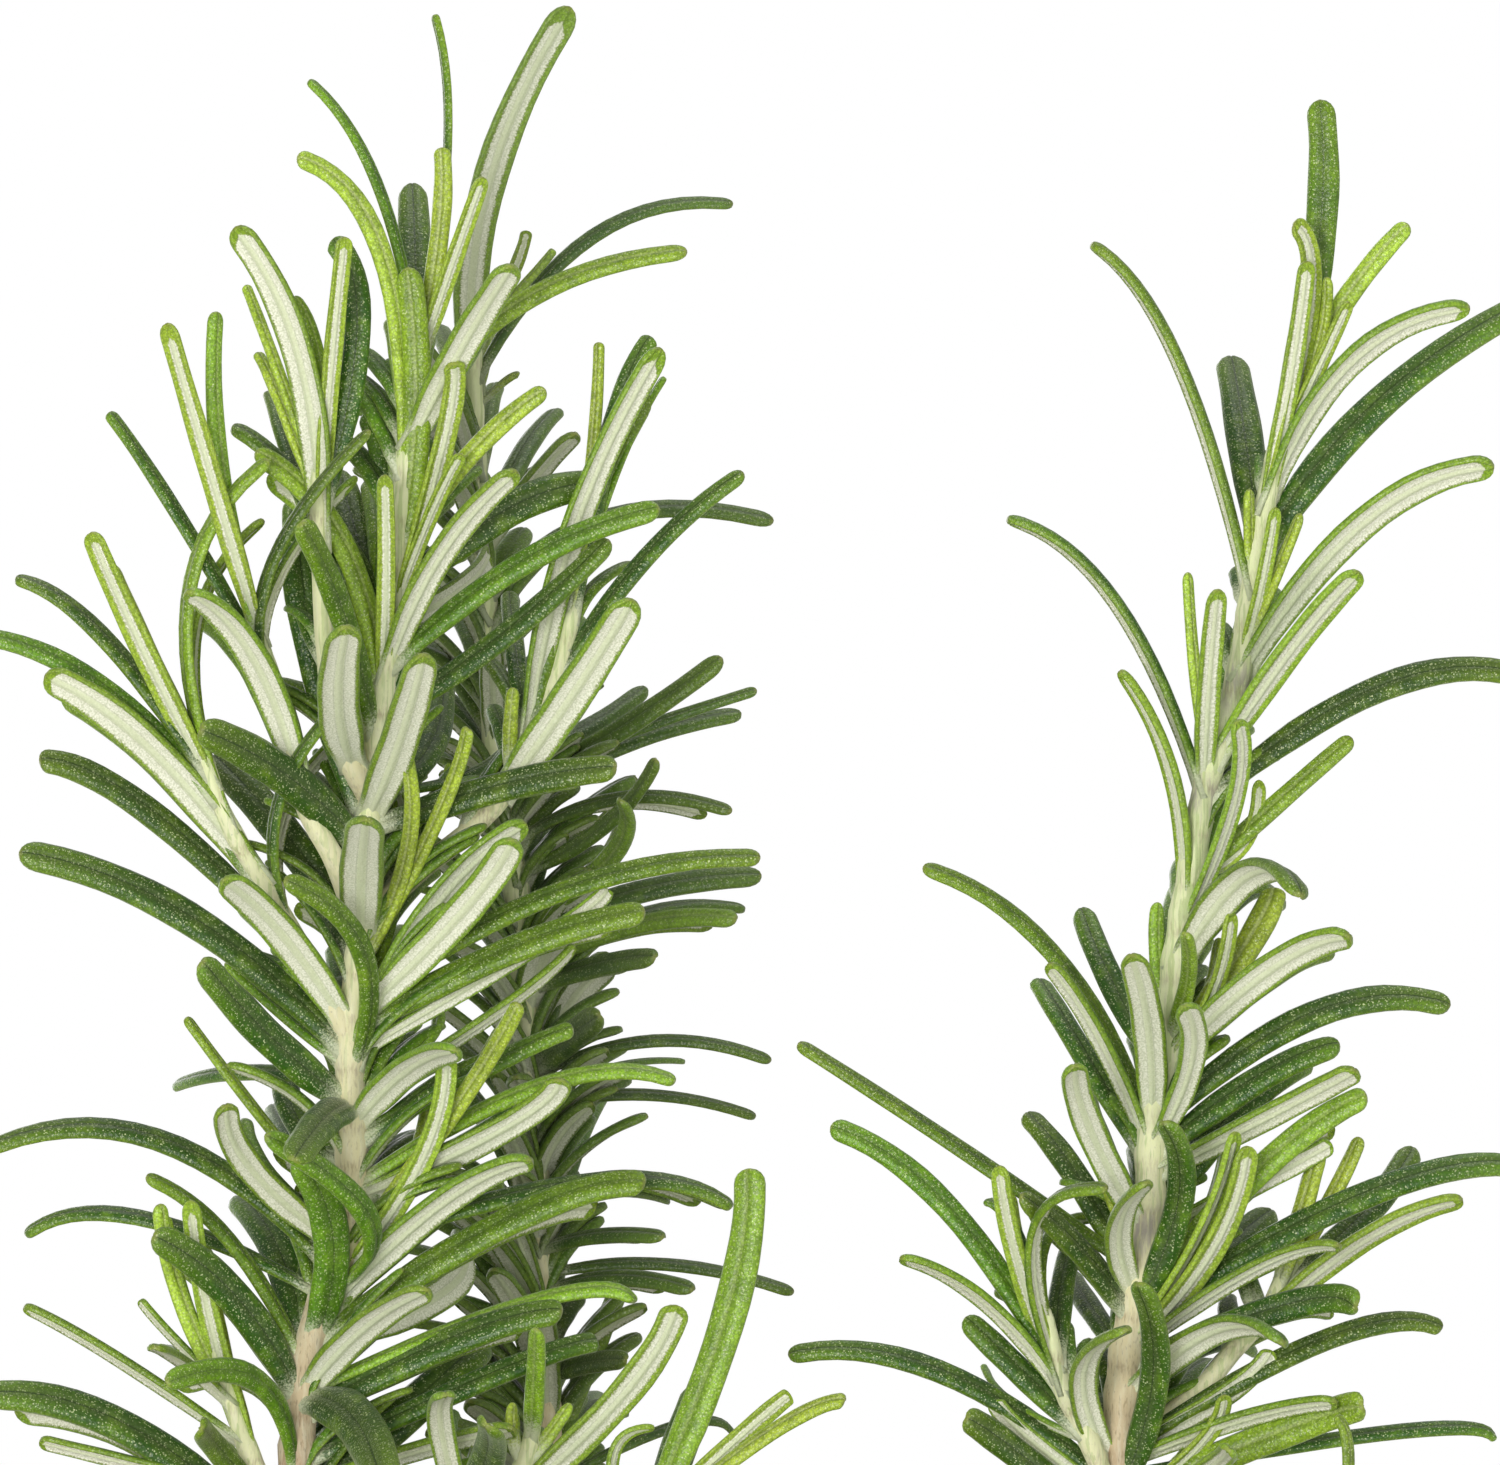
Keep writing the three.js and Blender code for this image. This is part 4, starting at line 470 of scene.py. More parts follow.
# ---- helpers ----
def seeded_random(seed):
    """Numbers from 0 to 1 that are the same on every run."""
    state = seed

    def draw():
        nonlocal state
        state = (state * 1664525 + 1013904223) & 0xFFFFFFFF
        return state / 4294967296

    return draw


def mix(a, b, t):
    return a + (b - a) * t


def smooth(low, high, value):
    """0 below low, 1 above high, with a smooth rise between them."""
    t = np.clip((value - low) / (high - low), 0, 1)
    return t * t * (3 - 2 * t)


def bell(value, centre, reach):
    """1 at centre, and almost 0 at twice reach from it."""
    return np.exp(-(((value - centre) / reach) ** 2))


def unit(v):
    return v / np.linalg.norm(v)


def units(rows):
    return rows / np.linalg.norm(rows, axis=1)[:, None]


def lengths_along(points):
    """How far each point is from the first, along the line through them all."""
    return np.concatenate([[0], np.cumsum(np.linalg.norm(np.diff(points, axis=0), axis=1))])


def axis_point(points, z):
    """The point of an axis at height z, on a smooth curve through its points."""
    i = 0
    while i < len(points) - 2 and z > points[i + 1][2]:
        i += 1

    def at(k):
        return points[min(max(k, 0), len(points) - 1)]

    def slope(k, c):
        before, after = at(k - 1), at(k + 1)
        return (after[c] - before[c]) / (after[2] - before[2])

    low, high = at(i), at(i + 1)
    h = high[2] - low[2]
    t = (z - low[2]) / h

    def along(c):
        return ((2 * t**3 - 3 * t**2 + 1) * low[c] + (t**3 - 2 * t**2 + t) * h * slope(i, c)
                + (3 * t**2 - 2 * t**3) * high[c] + (t**3 - t**2) * h * slope(i + 1, c))

    return np.array([along(0), along(1), z])


# ---- where the leaves are ----
# A far partner's size beside its front leaf, and how far it swings back for each millimetre sideways.
PARTNER_SIZE = (0.82, 0.94)
PARTNER_SWING = 0.12
# What free leaves are drawn from: length, spread from upright in degrees, rise of the middle as a share of
# the length, width, and age.
PAIRED = {"length": (19, 26), "spread": (48, 74), "rise": (0.08, 0.16), "width": (2, 2.8), "age": (0, 1.2)}
SMALL = {"length": (11, 16), "spread": (28, 45), "rise": (0.08, 0.16), "width": (1.3, 1.8), "age": (1, 3)}
LONG = {"length": (18, 24), "spread": (52, 72), "rise": (0.08, 0.16), "width": (2, 2.8), "age": (0, 0.8)}
TUFTED = {"length": (9, 13), "spread": (18, 30), "rise": -0.05, "width": (1.2, 1.6), "age": (2.2, 3)}
# How far directions stray, in degrees: a pair's, each leaf's in it, a tuft leaf's and an inner leaf's.
PAIR_STRAY = 14
LEAF_STRAY = 12
TUFT_STRAY = 15
INNER_STRAY = 55
# How far above its pair the small leaf stands.
SMALL_ABOVE = 1.5
# A hidden shoot has only leaves that point at least so far to the back and at most so far to the right.
HIDDEN_BACK = 0.2
HIDDEN_RIGHT = 0.4
# What the highest of the long leaves lose: a share of their length, and degrees of their spread.
LONG_SHORTER = 0.35
LONG_STEEPER = 18
# How far below a shoot's end its tuft stands.
TUFT_DROP = 1.5


def free_leaf(root, azimuth, spread, length, rise, width, age):
    """A leaf that points to azimuth, at spread from upright, with its middle raised by rise."""
    outward = np.array([math.cos(azimuth), math.sin(azimuth), 0])
    ahead = outward * math.sin(spread) + UP * math.cos(spread)
    above = unit(UP - UP.dot(ahead) * ahead)
    return {"root": root, "middle": root + ahead * length / 2 + above * rise, "tip": root + ahead * length,
            "across": np.cross(ahead, above), "width": width, "age": age, "lean": 0}


def leaf_from_row(points, row):
    """A leaf seen from the front, from its row in the lists above."""
    height, middle_x, middle_z, tip_x, tip_z, lean, width, turn, age = row
    root = axis_point(points, height)
    seen = math.hypot(tip_x - root[0], tip_z - root[2])
    full = YOUNG_STRETCH * seen if age == YOUNG else max(LEAF_LENGTH, LEAST_STRETCH * seen)
    depth = math.copysign(math.sqrt(abs(lean) * (full**2 - seen**2)), lean)
    middle = np.array([middle_x, root[1] + MID_DEPTH * depth, middle_z])
    tip = np.array([tip_x, root[1] + depth, tip_z])
    ahead = unit(tip - root)
    facing = unit(TO_FRONT - TO_FRONT.dot(ahead) * ahead)
    upward = np.cross(ahead, facing)
    if upward[2] < 0:
        upward = -upward
    angle = math.radians(turn)
    above = facing * math.cos(angle) + upward * math.sin(angle)
    return {"root": root, "middle": middle, "tip": tip, "across": np.cross(ahead, above),
            "width": width, "age": age, "lean": lean}


def far_partner(leaf, random):
    """The leaf that answers a front one on the far side of the stem, a little shorter."""
    size = mix(*PARTNER_SIZE, random())

    def mirror(point):
        offset = (point - leaf["root"]) * size
        offset[1] = -offset[1] + PARTNER_SWING * abs(offset[0])
        return leaf["root"] + offset

    across = -leaf["across"] * np.array([1, -1, 1])
    return {**leaf, "middle": mirror(leaf["middle"]), "tip": mirror(leaf["tip"]), "across": across}


def crossed_pairs(points, lower):
    """Leaves in crossed pairs up an axis, each pair a quarter turn from the last and with a small leaf.

    A shoot that stands close behind others, marked hidden, has only the leaves on its free side.
    """
    random = seeded_random(lower["seed"])
    ages = seeded_random(lower["seed"] + 500)
    leaves = []
    z = lower["from"]
    node = 0
    while z < lower["to"]:
        start = node * 90 + mix(-PAIR_STRAY, PAIR_STRAY, random())
        small_turn = 90 if node % 4 < 2 else 270
        for kind, turn_by, above in ((PAIRED, 0, 0), (PAIRED, 180, 0), (SMALL, small_turn, SMALL_ABOVE)):
            azimuth = math.radians(start + turn_by + mix(-LEAF_STRAY, LEAF_STRAY, random()))
            length = mix(*kind["length"], random())
            spread = math.radians(mix(*kind["spread"], random()))
            width = mix(*kind["width"], random())
            rise = mix(*kind["rise"], random()) * length
            age = mix(*kind["age"], ages())
            free = math.sin(azimuth) >= HIDDEN_BACK and math.cos(azimuth) <= HIDDEN_RIGHT
            if lower.get("hidden") and not free:
                continue
            root = axis_point(points, min(z + above, lower["to"]))
            leaves.append(free_leaf(root, azimuth, spread, length, rise, width, age))
        z += lower["step"]
        node += 1
    return leaves


def filling_leaves(points, place, seed, kind, youth=0):
    """Leaves of one kind up one side of an axis, shorter, steeper and younger upwards where youth is 1.

    place is [from height, to height, step, direction, the most to its sides], with both angles in degrees.
    """
    low, high, step, facing, aside = place
    random = seeded_random(seed)
    leaves = []
    for z in np.arange(low, high, step):
        height = youth * (z - low) / (high - low)
        azimuth = math.radians(facing + mix(-aside, aside, random()))
        length = mix(*kind["length"], random()) * (1 - LONG_SHORTER * height)
        spread = math.radians(mix(*kind["spread"], random()) - LONG_STEEPER * height)
        rise = mix(*kind["rise"], random()) * length
        width = mix(*kind["width"], random())
        age = mix(*kind["age"], random()) + height
        leaves.append(free_leaf(axis_point(points, z), azimuth, spread, length, rise, width, age))
    return leaves


def inner_leaves(points, row, seed):
    """Short dark leaves close to the stem, from a row of INNER."""
    *place, longest, widest = row
    kind = {"length": (0.65 * longest, longest), "spread": (28, 60), "rise": (0.06, 0.16),
            "width": (0.7 * widest, widest), "age": (0, 0.8)}
    return filling_leaves(points, (*place, INNER_STRAY), seed, kind)


def end_tuft(points, size, seed):
    """Four young leaves that close the top of a shoot, and two steeper ones; size is 1 for full ones."""
    random = seeded_random(seed)
    root = axis_point(points, points[-1][2] - TUFT_DROP)
    leaves = []
    for turn, shorter, steeper in [(90 * k, 1, 1) for k in range(4)] + [(45, 0.6, 0.5), (135, 0.6, 0.5)]:
        azimuth = math.radians(turn + mix(-TUFT_STRAY, TUFT_STRAY, random()))
        length = size * mix(*TUFTED["length"], random()) * shorter
        spread = math.radians(mix(*TUFTED["spread"], random()) * steeper)
        width = mix(*TUFTED["width"], random())
        age = mix(*TUFTED["age"], random())
        leaves.append(free_leaf(root, azimuth, spread, length, TUFTED["rise"] * length, width, age))
    return leaves


# Where a shoot is filled out with inner leaves:
# [axis, from height, to height, step, direction in degrees, length, width].
INNER = {
    "shoot_left": [
        ("main", 172, 232, 1.7, 38, 17, 2.6), ("main", 178, 268, 2.4, 90, 14, 2.6),
        ("main", 202, 240, 2.4, 140, 14, 2.6), ("main", 250, 268, 3.4, 90, 10, 2.2),
        ("upper", 238, 252, 3, 80, 10, 2.2), ("right", 227, 249, 2.6, 80, 12, 2.4)],
    "shoot_right": [
        ("main", 182, 236, 2.0, 50, 13, 2.6), ("main", 236, 262, 3.0, 70, 9, 2.2),
        ("main", 178, 214, 2.6, 100, 10, 2.6), ("left", 174, 191, 3, 90, 11, 2.4),
        ("right", 183, 195, 3, 90, 11, 2.4)],
    "shoot_back": [
        ("main", 172, 266, 2.0, 215, 15, 2.8), ("main", 172, 250, 2.4, 15, 13, 3.0),
        ("main", 172, 262, 4.0, 110, 15, 2.8), ("main", 166, 200, 1.5, 190, 20, 3.6),
        ("main", 200, 240, 4.0, 350, 15, 3.8)],
}
# Where long leaves point away from the front:
# [from height, to height, step, direction, the most to its sides], with both angles in degrees.
BACKWARD = {
    "shoot_left": (178, 270, 4.2, 84, 20),
    "shoot_right": (178, 252, 4.2, 70, 14),
    "shoot_back": (178, 268, 7, 90, 26),
}
# More rows like those of the lists above, for leaves half hidden behind others or close to the stem.
MORE_ROWS = {
    "shoot_left": [
        [224, -36.6, 233.4, -41.9, 239, 0.5, 3.2, 20, DARK],
        [176, -24.5, 185.5, -19.5, 190, 0.5, 3.6, 20, DARK],
        [190, -22.5, 194.5, -21.8, 199, 0.5, 3, 165, DARK],
        [233, -33.8, 249.5, -34.6, 259, 0.6, 3.2, 15, DARK],
        [240, -26.6, 258, -28.8, 268, 0.6, 3.4, 10, DARK],
        [176, -33, 182, -31.5, 188, 0.6, 3, 20, DARK],
        [240, -30.9, 250.5, -34.4, 258.5, -0.9, 2.4, 35, MID],
        [243, -27.4, 253, -27.5, 262.5, -0.5, 1.6, 168, YOUNG]],
    "shoot_right": [
        [200, 43.5, 209.4, 49.5, 213.4, 0.5, 3, 30, DARK],
        [190, 41, 196.5, 46.5, 201, 0.5, 3, 30, DARK]],
    "shoot_back": [[209, -13, 217, -8.5, 222, 0.2, 3.2, 150, DARK]],
    "shoot_middle": [[170, -3.2, 181, -1.2, 186.3, 0.5, 3.2, 30, DARK]],
}
# How much painted shade darkens and dulls the leaves of a shoot that stands in the others' shade.
PAINTED_SHADE_BY_SHOOT = {"shoot_back": 0.6}
# Leaves that lean to the front have a partner on the far side of the stem: every second one of those that
# lean at least NEAR, and below PARTNERS_TO all others that lean at least LEANING.
NEAR = -0.4
LEANING = -0.2
PARTNERS_TO = 244
# A shoot with fewer rows than this ends in a tuft, a small one if it has any rows.
TUFT_BELOW = 5
SMALL_TUFT = 0.45


def leaves_of(shoot):
    """The leaves of a shoot, with the solid's ones first, and how many of them are outer ones."""
    name, lower, rows = shoot["name"], shoot["lower"], shoot["leaves"]
    seed = lower["seed"]

    def points_of(axis):
        return shoot["axes"][axis]["points"]

    points = points_of(lower["axis"])
    leaves = [leaf_from_row(points_of(axis), row) for axis in rows for row in rows[axis]]
    second = [leaf["lean"] <= NEAR and i % 2 > 0 for i, leaf in enumerate(leaves)]
    near = [leaf for leaf, chosen in zip(leaves, second) if chosen]
    others = [leaf for leaf, chosen in zip(leaves, second)
              if not chosen and leaf["lean"] <= LEANING and leaf["root"][2] < PARTNERS_TO]
    for front, random in ((near, seeded_random(seed + 1)), (others, seeded_random(seed + 2))):
        leaves += [far_partner(leaf, random) for leaf in front]
    leaves += [leaf_from_row(points, row) for row in MORE_ROWS.get(name, [])]
    leaves += crossed_pairs(points, lower)
    between = {"from": lower["from"] + lower["step"] / 2, "seed": seed + 100}
    leaves += crossed_pairs(points, {**lower, **between})
    if len(rows["main"]) < TUFT_BELOW:
        leaves += end_tuft(points, SMALL_TUFT if rows["main"] else 1, seed + 3)
    outer = len(leaves)
    for k, (axis, *row) in enumerate(INNER.get(name, [])):
        leaves += inner_leaves(points_of(axis), row, seed + 7 + k)
    if name in BACKWARD:
        leaves += filling_leaves(points_of("main"), BACKWARD[name], seed + 31, LONG, 1)
    for leaf in leaves:
        leaf["painted_shade"] = PAINTED_SHADE_BY_SHOOT.get(name, 0.0)
    return leaves, outer


# ---- leaf mesh ----
# Half of a leaf's section, from the groove above to the midrib beneath: share of the half width, share
# of the thickness above the leaf's plane, and how far round it is, from 0 above to 1 beneath.
HALF_SECTION = [
    (0.00, 0.36, 0.00), (0.14, 0.47, 0.08), (0.46, 0.47, 0.24), (0.80, 0.32, 0.40), (1.00, 0.02, 0.50),
    (0.96, -0.26, 0.58), (0.82, -0.36, 0.66), (0.68, -0.18, 0.74), (0.30, -0.10, 0.88), (0.10, -0.22, 0.96),
    (0.00, -0.30, 1.00)]
SECTION = np.array(HALF_SECTION + [(-s, h, a) for s, h, a in HALF_SECTION[-2:0:-1]])
BODY_RINGS = 15
TIP_RINGS = 5
# How long the round tip is, in widths, and how far round its quarter circle the last ring stands.
TIP_LENGTH = 0.62
TIP_END = 0.94
# How far the tip turns about the leaf, in degrees, and how wavy its sides are.
LEAF_TWIST = 14
LEAF_WAVES = 0.025
# Thickness of a leaf of no width, and what each millimetre of width adds.
THINNEST = 0.28
THICKER = 0.3


def rings_about(centre, side, above, x, y):
    """Rings of points round a line, each point x towards side and y towards above."""
    return centre[:, None, :] + side[:, None, :] * x[:, :, None] + above[:, None, :] * y[:, :, None]


def leaf_mesh(leaf, random):
    """Rings of points along one leaf, with what its material reads at each point."""
    root, middle, tip, width = leaf["root"], leaf["middle"], leaf["tip"], leaf["width"]
    control = 2 * middle - (root + tip) / 2
    chord = np.linalg.norm(middle - root) + np.linalg.norm(tip - middle)
    body = 1 - TIP_LENGTH * width / chord
    tip_steps = np.sin(np.linspace(0, TIP_END * math.pi / 2, TIP_RINGS))
    t = np.concatenate([np.linspace(0, body, BODY_RINGS, endpoint=False), body + (1 - body) * tip_steps])
    centre = ((1 - t) ** 2)[:, None] * root + (2 * t * (1 - t))[:, None] * control + (t**2)[:, None] * tip
    ahead = units(2 * (1 - t)[:, None] * (control - root) + 2 * t[:, None] * (tip - control))
    side = units(leaf["across"] - (ahead @ leaf["across"])[:, None] * ahead)
    above = np.cross(side, ahead)
    twist = (math.radians(mix(-LEAF_TWIST, LEAF_TWIST, random())) * t)[:, None]
    cos, sin = np.cos(twist), np.sin(twist)
    side, above = side * cos + above * sin, above * cos - side * sin
    cap = np.sqrt(np.clip(1 - (np.clip(t - body, 0, 1) / (1 - body)) ** 2, 0.004, 1))
    # narrow at the root, full from a third on and a little narrower again towards the tip
    taper = 0.8 - 0.1 * smooth(0, 0.06, t) + 0.3 * smooth(0.05, 0.3, t)
    taper = taper * (1 - 0.12 * smooth(0.55, 1, t))
    waves = 1 + LEAF_WAVES * np.sin(t * mix(14, 22, random()) + 6 * random())
    half = width / 2 * taper * cap * waves
    thick = (THINNEST + THICKER * width) * (0.75 + 0.25 * taper) * np.sqrt(cap)
    x, y = half[:, None] * SECTION[:, 0], thick[:, None] * SECTION[:, 1]
    along = lengths_along(centre)
    tint = random()
    # a place of the leaf's own for its texture, moved along by its tint
    own = np.stack(np.broadcast_arrays(x, along[:, None] + 40 * tint, y), axis=-1)
    values = {"around": SECTION[None, :, 2], "along": along[:, None], "share": t[:, None], "own": own,
              "age": leaf["age"] + mix(-0.15, 0.15, random()), "tint": tint, "painted_shade": leaf["painted_shade"]}
    rings = rings_about(centre, side, above, x, y)
    return {"rings": rings, "end": tip, "along": along, "girth": 2.6 * width, "values": values}


def tube_faces(rings, sides):
    """Quads round a tube of rings, then a fan over its end and one over its start."""
    r, i = np.meshgrid(np.arange(rings - 1), np.arange(sides), indexing="ij")
    j = (i + 1) % sides
    quads = np.stack([r * sides + i, r * sides + j, (r + 1) * sides + j, (r + 1) * sides + i], axis=-1)
    around = np.arange(sides)
    nxt = (around + 1) % sides
    last = (rings - 1) * sides
    end = np.stack([last + around, last + nxt, np.full(sides, rings * sides)], axis=-1)
    start = np.stack([nxt, around, np.full(sides, rings * sides + 1)], axis=-1)
    return quads.reshape(-1, 4), np.concatenate([end, start])


# ---- meshes from tubes ----
# A tube's flat map: the gap to the next one, the height of its end fans, and the room for poor packing.
UV_GAP = 0.4
CAP_HEIGHT = 0.3
UV_SPARE = 1.1


def packed_places(sizes):
    """Where rectangles (width, height) go side by side on shelves, and the side of the square they fill."""
    side = math.sqrt(UV_SPARE * sum((w + UV_GAP) * (h + UV_GAP) for w, h in sizes))
    side = max(side, max(max(w, h) for w, h in sizes) + 2 * UV_GAP)
    places = [None] * len(sizes)
    x, y, shelf = UV_GAP, UV_GAP, 0
    for k in sorted(range(len(sizes)), key=lambda k: -sizes[k][1]):
        w, h = sizes[k]
        if x + w > side:
            x, y, shelf = UV_GAP, y + shelf + UV_GAP, 0
        places[k] = (x, y)
        x += w + UV_GAP
        shelf = max(shelf, h)
    return places, max(side, y + shelf) + UV_GAP


def tube_maps(tube, left, low):
    """A tube's flat map: the corners of its quads, and those of its end and start fans."""
    rings, sides = tube["rings"].shape[:2]
    body, around = low + CAP_HEIGHT + tube["along"], tube["girth"] / sides
    r, i = np.meshgrid(np.arange(rings - 1), np.arange(sides), indexing="ij")
    u = left + around * np.stack([i, i + 1, i + 1, i], axis=-1)
    v = body[np.stack([r, r, r + 1, r + 1], axis=-1)]
    i = np.arange(sides)
    ends = np.concatenate([np.stack([i, i + 1, i + 0.5], -1), np.stack([i + 1, i, i + 0.5], -1)])
    corners = [[body[-1], body[-1], body[-1] + CAP_HEIGHT], [body[0], body[0], low]]
    fans = np.stack([left + around * ends, np.repeat(corners, sides, axis=0)], axis=-1)
    return np.stack([u, v], axis=-1).reshape(-1, 2), fans.reshape(-1, 2)


def with_ends(value, rings, sides):
    """A tube's value at each point of its rings, at its end and at its start."""
    value = np.asarray(value, float)
    if value.ndim < 3:
        value = value[..., None]
    size = value.shape[-1]
    spread = np.broadcast_to(value, (rings, sides, size))
    return np.concatenate([spread.reshape(-1, size), spread[-1:].mean(axis=1), spread[:1].mean(axis=1)])


def object_from_tubes(name, tubes, materials):
    """One mesh of closed tubes. A tube's values become point attributes, and its map is laid out flat."""
    places, extent = packed_places([(tube["girth"], tube["along"][-1] + 2 * CAP_HEIGHT) for tube in tubes])
    points, quads, fans, quad_maps, fan_maps = [], [], [], [], []
    values = {key: [] for key in tubes[0]["values"]}
    offset = 0
    for tube, place in zip(tubes, places):
        rings, sides = tube["rings"].shape[:2]
        start = tube["rings"][0].mean(axis=0)
        end = tube.get("end", tube["rings"][-1].mean(axis=0))
        points += [tube["rings"].reshape(-1, 3), [end], [start]]
        for key in values:
            values[key].append(with_ends(tube["values"][key], rings, sides))
        tube_quads, tube_fans = tube_faces(rings, sides)
        quads.append(tube_quads + offset)
        fans.append(tube_fans + offset)
        quad_map, fan_map = tube_maps(tube, *place)
        quad_maps.append(quad_map)
        fan_maps.append(fan_map)
        offset += rings * sides + 2
    points, quads, fans = np.concatenate(points), np.concatenate(quads), np.concatenate(fans)
    mesh = bpy.data.meshes.new(name)
    mesh.vertices.add(len(points))
    mesh.vertices.foreach_set("co", (points * MM).astype(np.float32).ravel())
    mesh.loops.add(quads.size + fans.size)
    mesh.loops.foreach_set("vertex_index", np.concatenate([quads.ravel(), fans.ravel()]).astype(np.int32))
    mesh.polygons.add(len(quads) + len(fans))
    firsts = np.concatenate([np.arange(len(quads)) * 4, quads.size + np.arange(len(fans)) * 3])
    mesh.polygons.foreach_set("loop_start", firsts.astype(np.int32))
    mesh.update(calc_edges=True)
    mesh.validate()
    mesh.shade_smooth()
    for key, parts in values.items():
        value = np.concatenate(parts).astype(np.float32)
        kind, field = ("FLOAT_VECTOR", "vector") if value.shape[-1] == 3 else ("FLOAT", "value")
        mesh.attributes.new(key, kind, "POINT").data.foreach_set(field, value.ravel())
    flat = np.concatenate(quad_maps + fan_maps) / extent
    mesh.uv_layers.new(name="OFBake").data.foreach_set("uv", flat.astype(np.float32).ravel())
    for material in materials:
        mesh.materials.append(material)
    piece = bpy.data.objects.new(name, mesh)
    bpy.context.scene.collection.objects.link(piece)
    return piece


# ---- stem mesh ----
STEM_SIDES = 14
STEM_STEP = 0.8
# Leaves that stand nearer to each other up a stem share a node.
NODE_GAP = 3.5
# How much a stem's radius varies round it: for its four corners, and for the knots of old wood.
SQUARENESS = 0.05
KNOTS = 0.03
# How much a stem swells at a leaf node, over what height, and where and how high the scar below it is.
SWELLING = 0.16
SWELLING_REACH = 1.1
SCAR_DROP = 1.3
SCAR_REACH = 0.4
TOP_NARROWING = 0.7


def node_heights(leaves):
    """The heights at which leaves stand on an axis, with near ones taken as one node."""
    heights = []
    for height in sorted(leaf["root"][2] for leaf in leaves):
        if not heights or height - heights[-1] > NODE_GAP:
            heights.append(height)
    return heights


def stem_mesh(axis, nodes, youth, bruises, random):
    """A stem that is a little square, swells at its leaf nodes and carries a scar line under each."""
    points, (foot_radius, top_radius) = axis["points"], axis["radii"]
    bottom, top = points[0][2], points[-1][2]
    heights = np.linspace(bottom, top, max(8, round((top - bottom) / STEM_STEP)))
    centre = np.array([axis_point(points, z) for z in heights])
    ahead = units(np.gradient(centre, axis=0))
    across = units(np.cross(ahead, TO_FRONT))
    over = np.cross(across, ahead)
    angle = math.tau * np.arange(STEM_SIDES) / STEM_SIDES
    z = heights[:, None]
    radius = mix(foot_radius, top_radius, (z - bottom) / (top - bottom))
    radius = radius * (1 + SQUARENESS * np.cos(4 * angle)[None, :])
    age = 1 - youth(z)
    for turns in (1, 2, 3, 5):
        phase = TURN * random()
        radius = radius * (1 + KNOTS * age * np.sin(turns * angle[None, :] + 0.35 * turns * z + phase))
    scar, bruise = np.zeros_like(z), np.zeros_like(z)
    for node in nodes:
        radius = radius * (1 + SWELLING * bell(z, node, SWELLING_REACH))
        scar = np.maximum(scar, bell(z, node - SCAR_DROP, SCAR_REACH))
    for height, reach in bruises:
        bruise = np.maximum(bruise, bell(z, height, reach))
    radius[-1] *= TOP_NARROWING
    rings = rings_about(centre, across, over, radius * np.sin(angle), radius * np.cos(angle))
    values = {"youth": youth(z), "scar": scar, "bruise": bruise, "tint": random()}
    return {"rings": rings, "along": lengths_along(centre), "girth": TURN * foot_radius, "values": values}


# ---- materials ----
def srgb(red, green, blue):
    """A linear colour from one given as it is seen on a screen, 0 to 255."""
    def linear(c):
        c /= 255
        return c / 12.92 if c <= 0.04045 else ((c + 0.055) / 1.055) ** 2.4
    return (linear(red), linear(green), linear(blue), 1)


class Nodes:
    """A node tree, and the making of a node with its settings, values and links in one call."""

    def __init__(self, tree):
        self.tree = tree

    def node(self, kind, inputs, output=0, **settings):
        made = self.tree.nodes.new(kind)
        for key, value in settings.items():
            setattr(made, key, value)
        for socket, value in inputs.items():
            if isinstance(value, bpy.types.NodeSocket):
                self.tree.links.new(value, made.inputs[socket])
            else:
                made.inputs[socket].default_value = value
        return made.outputs[output]


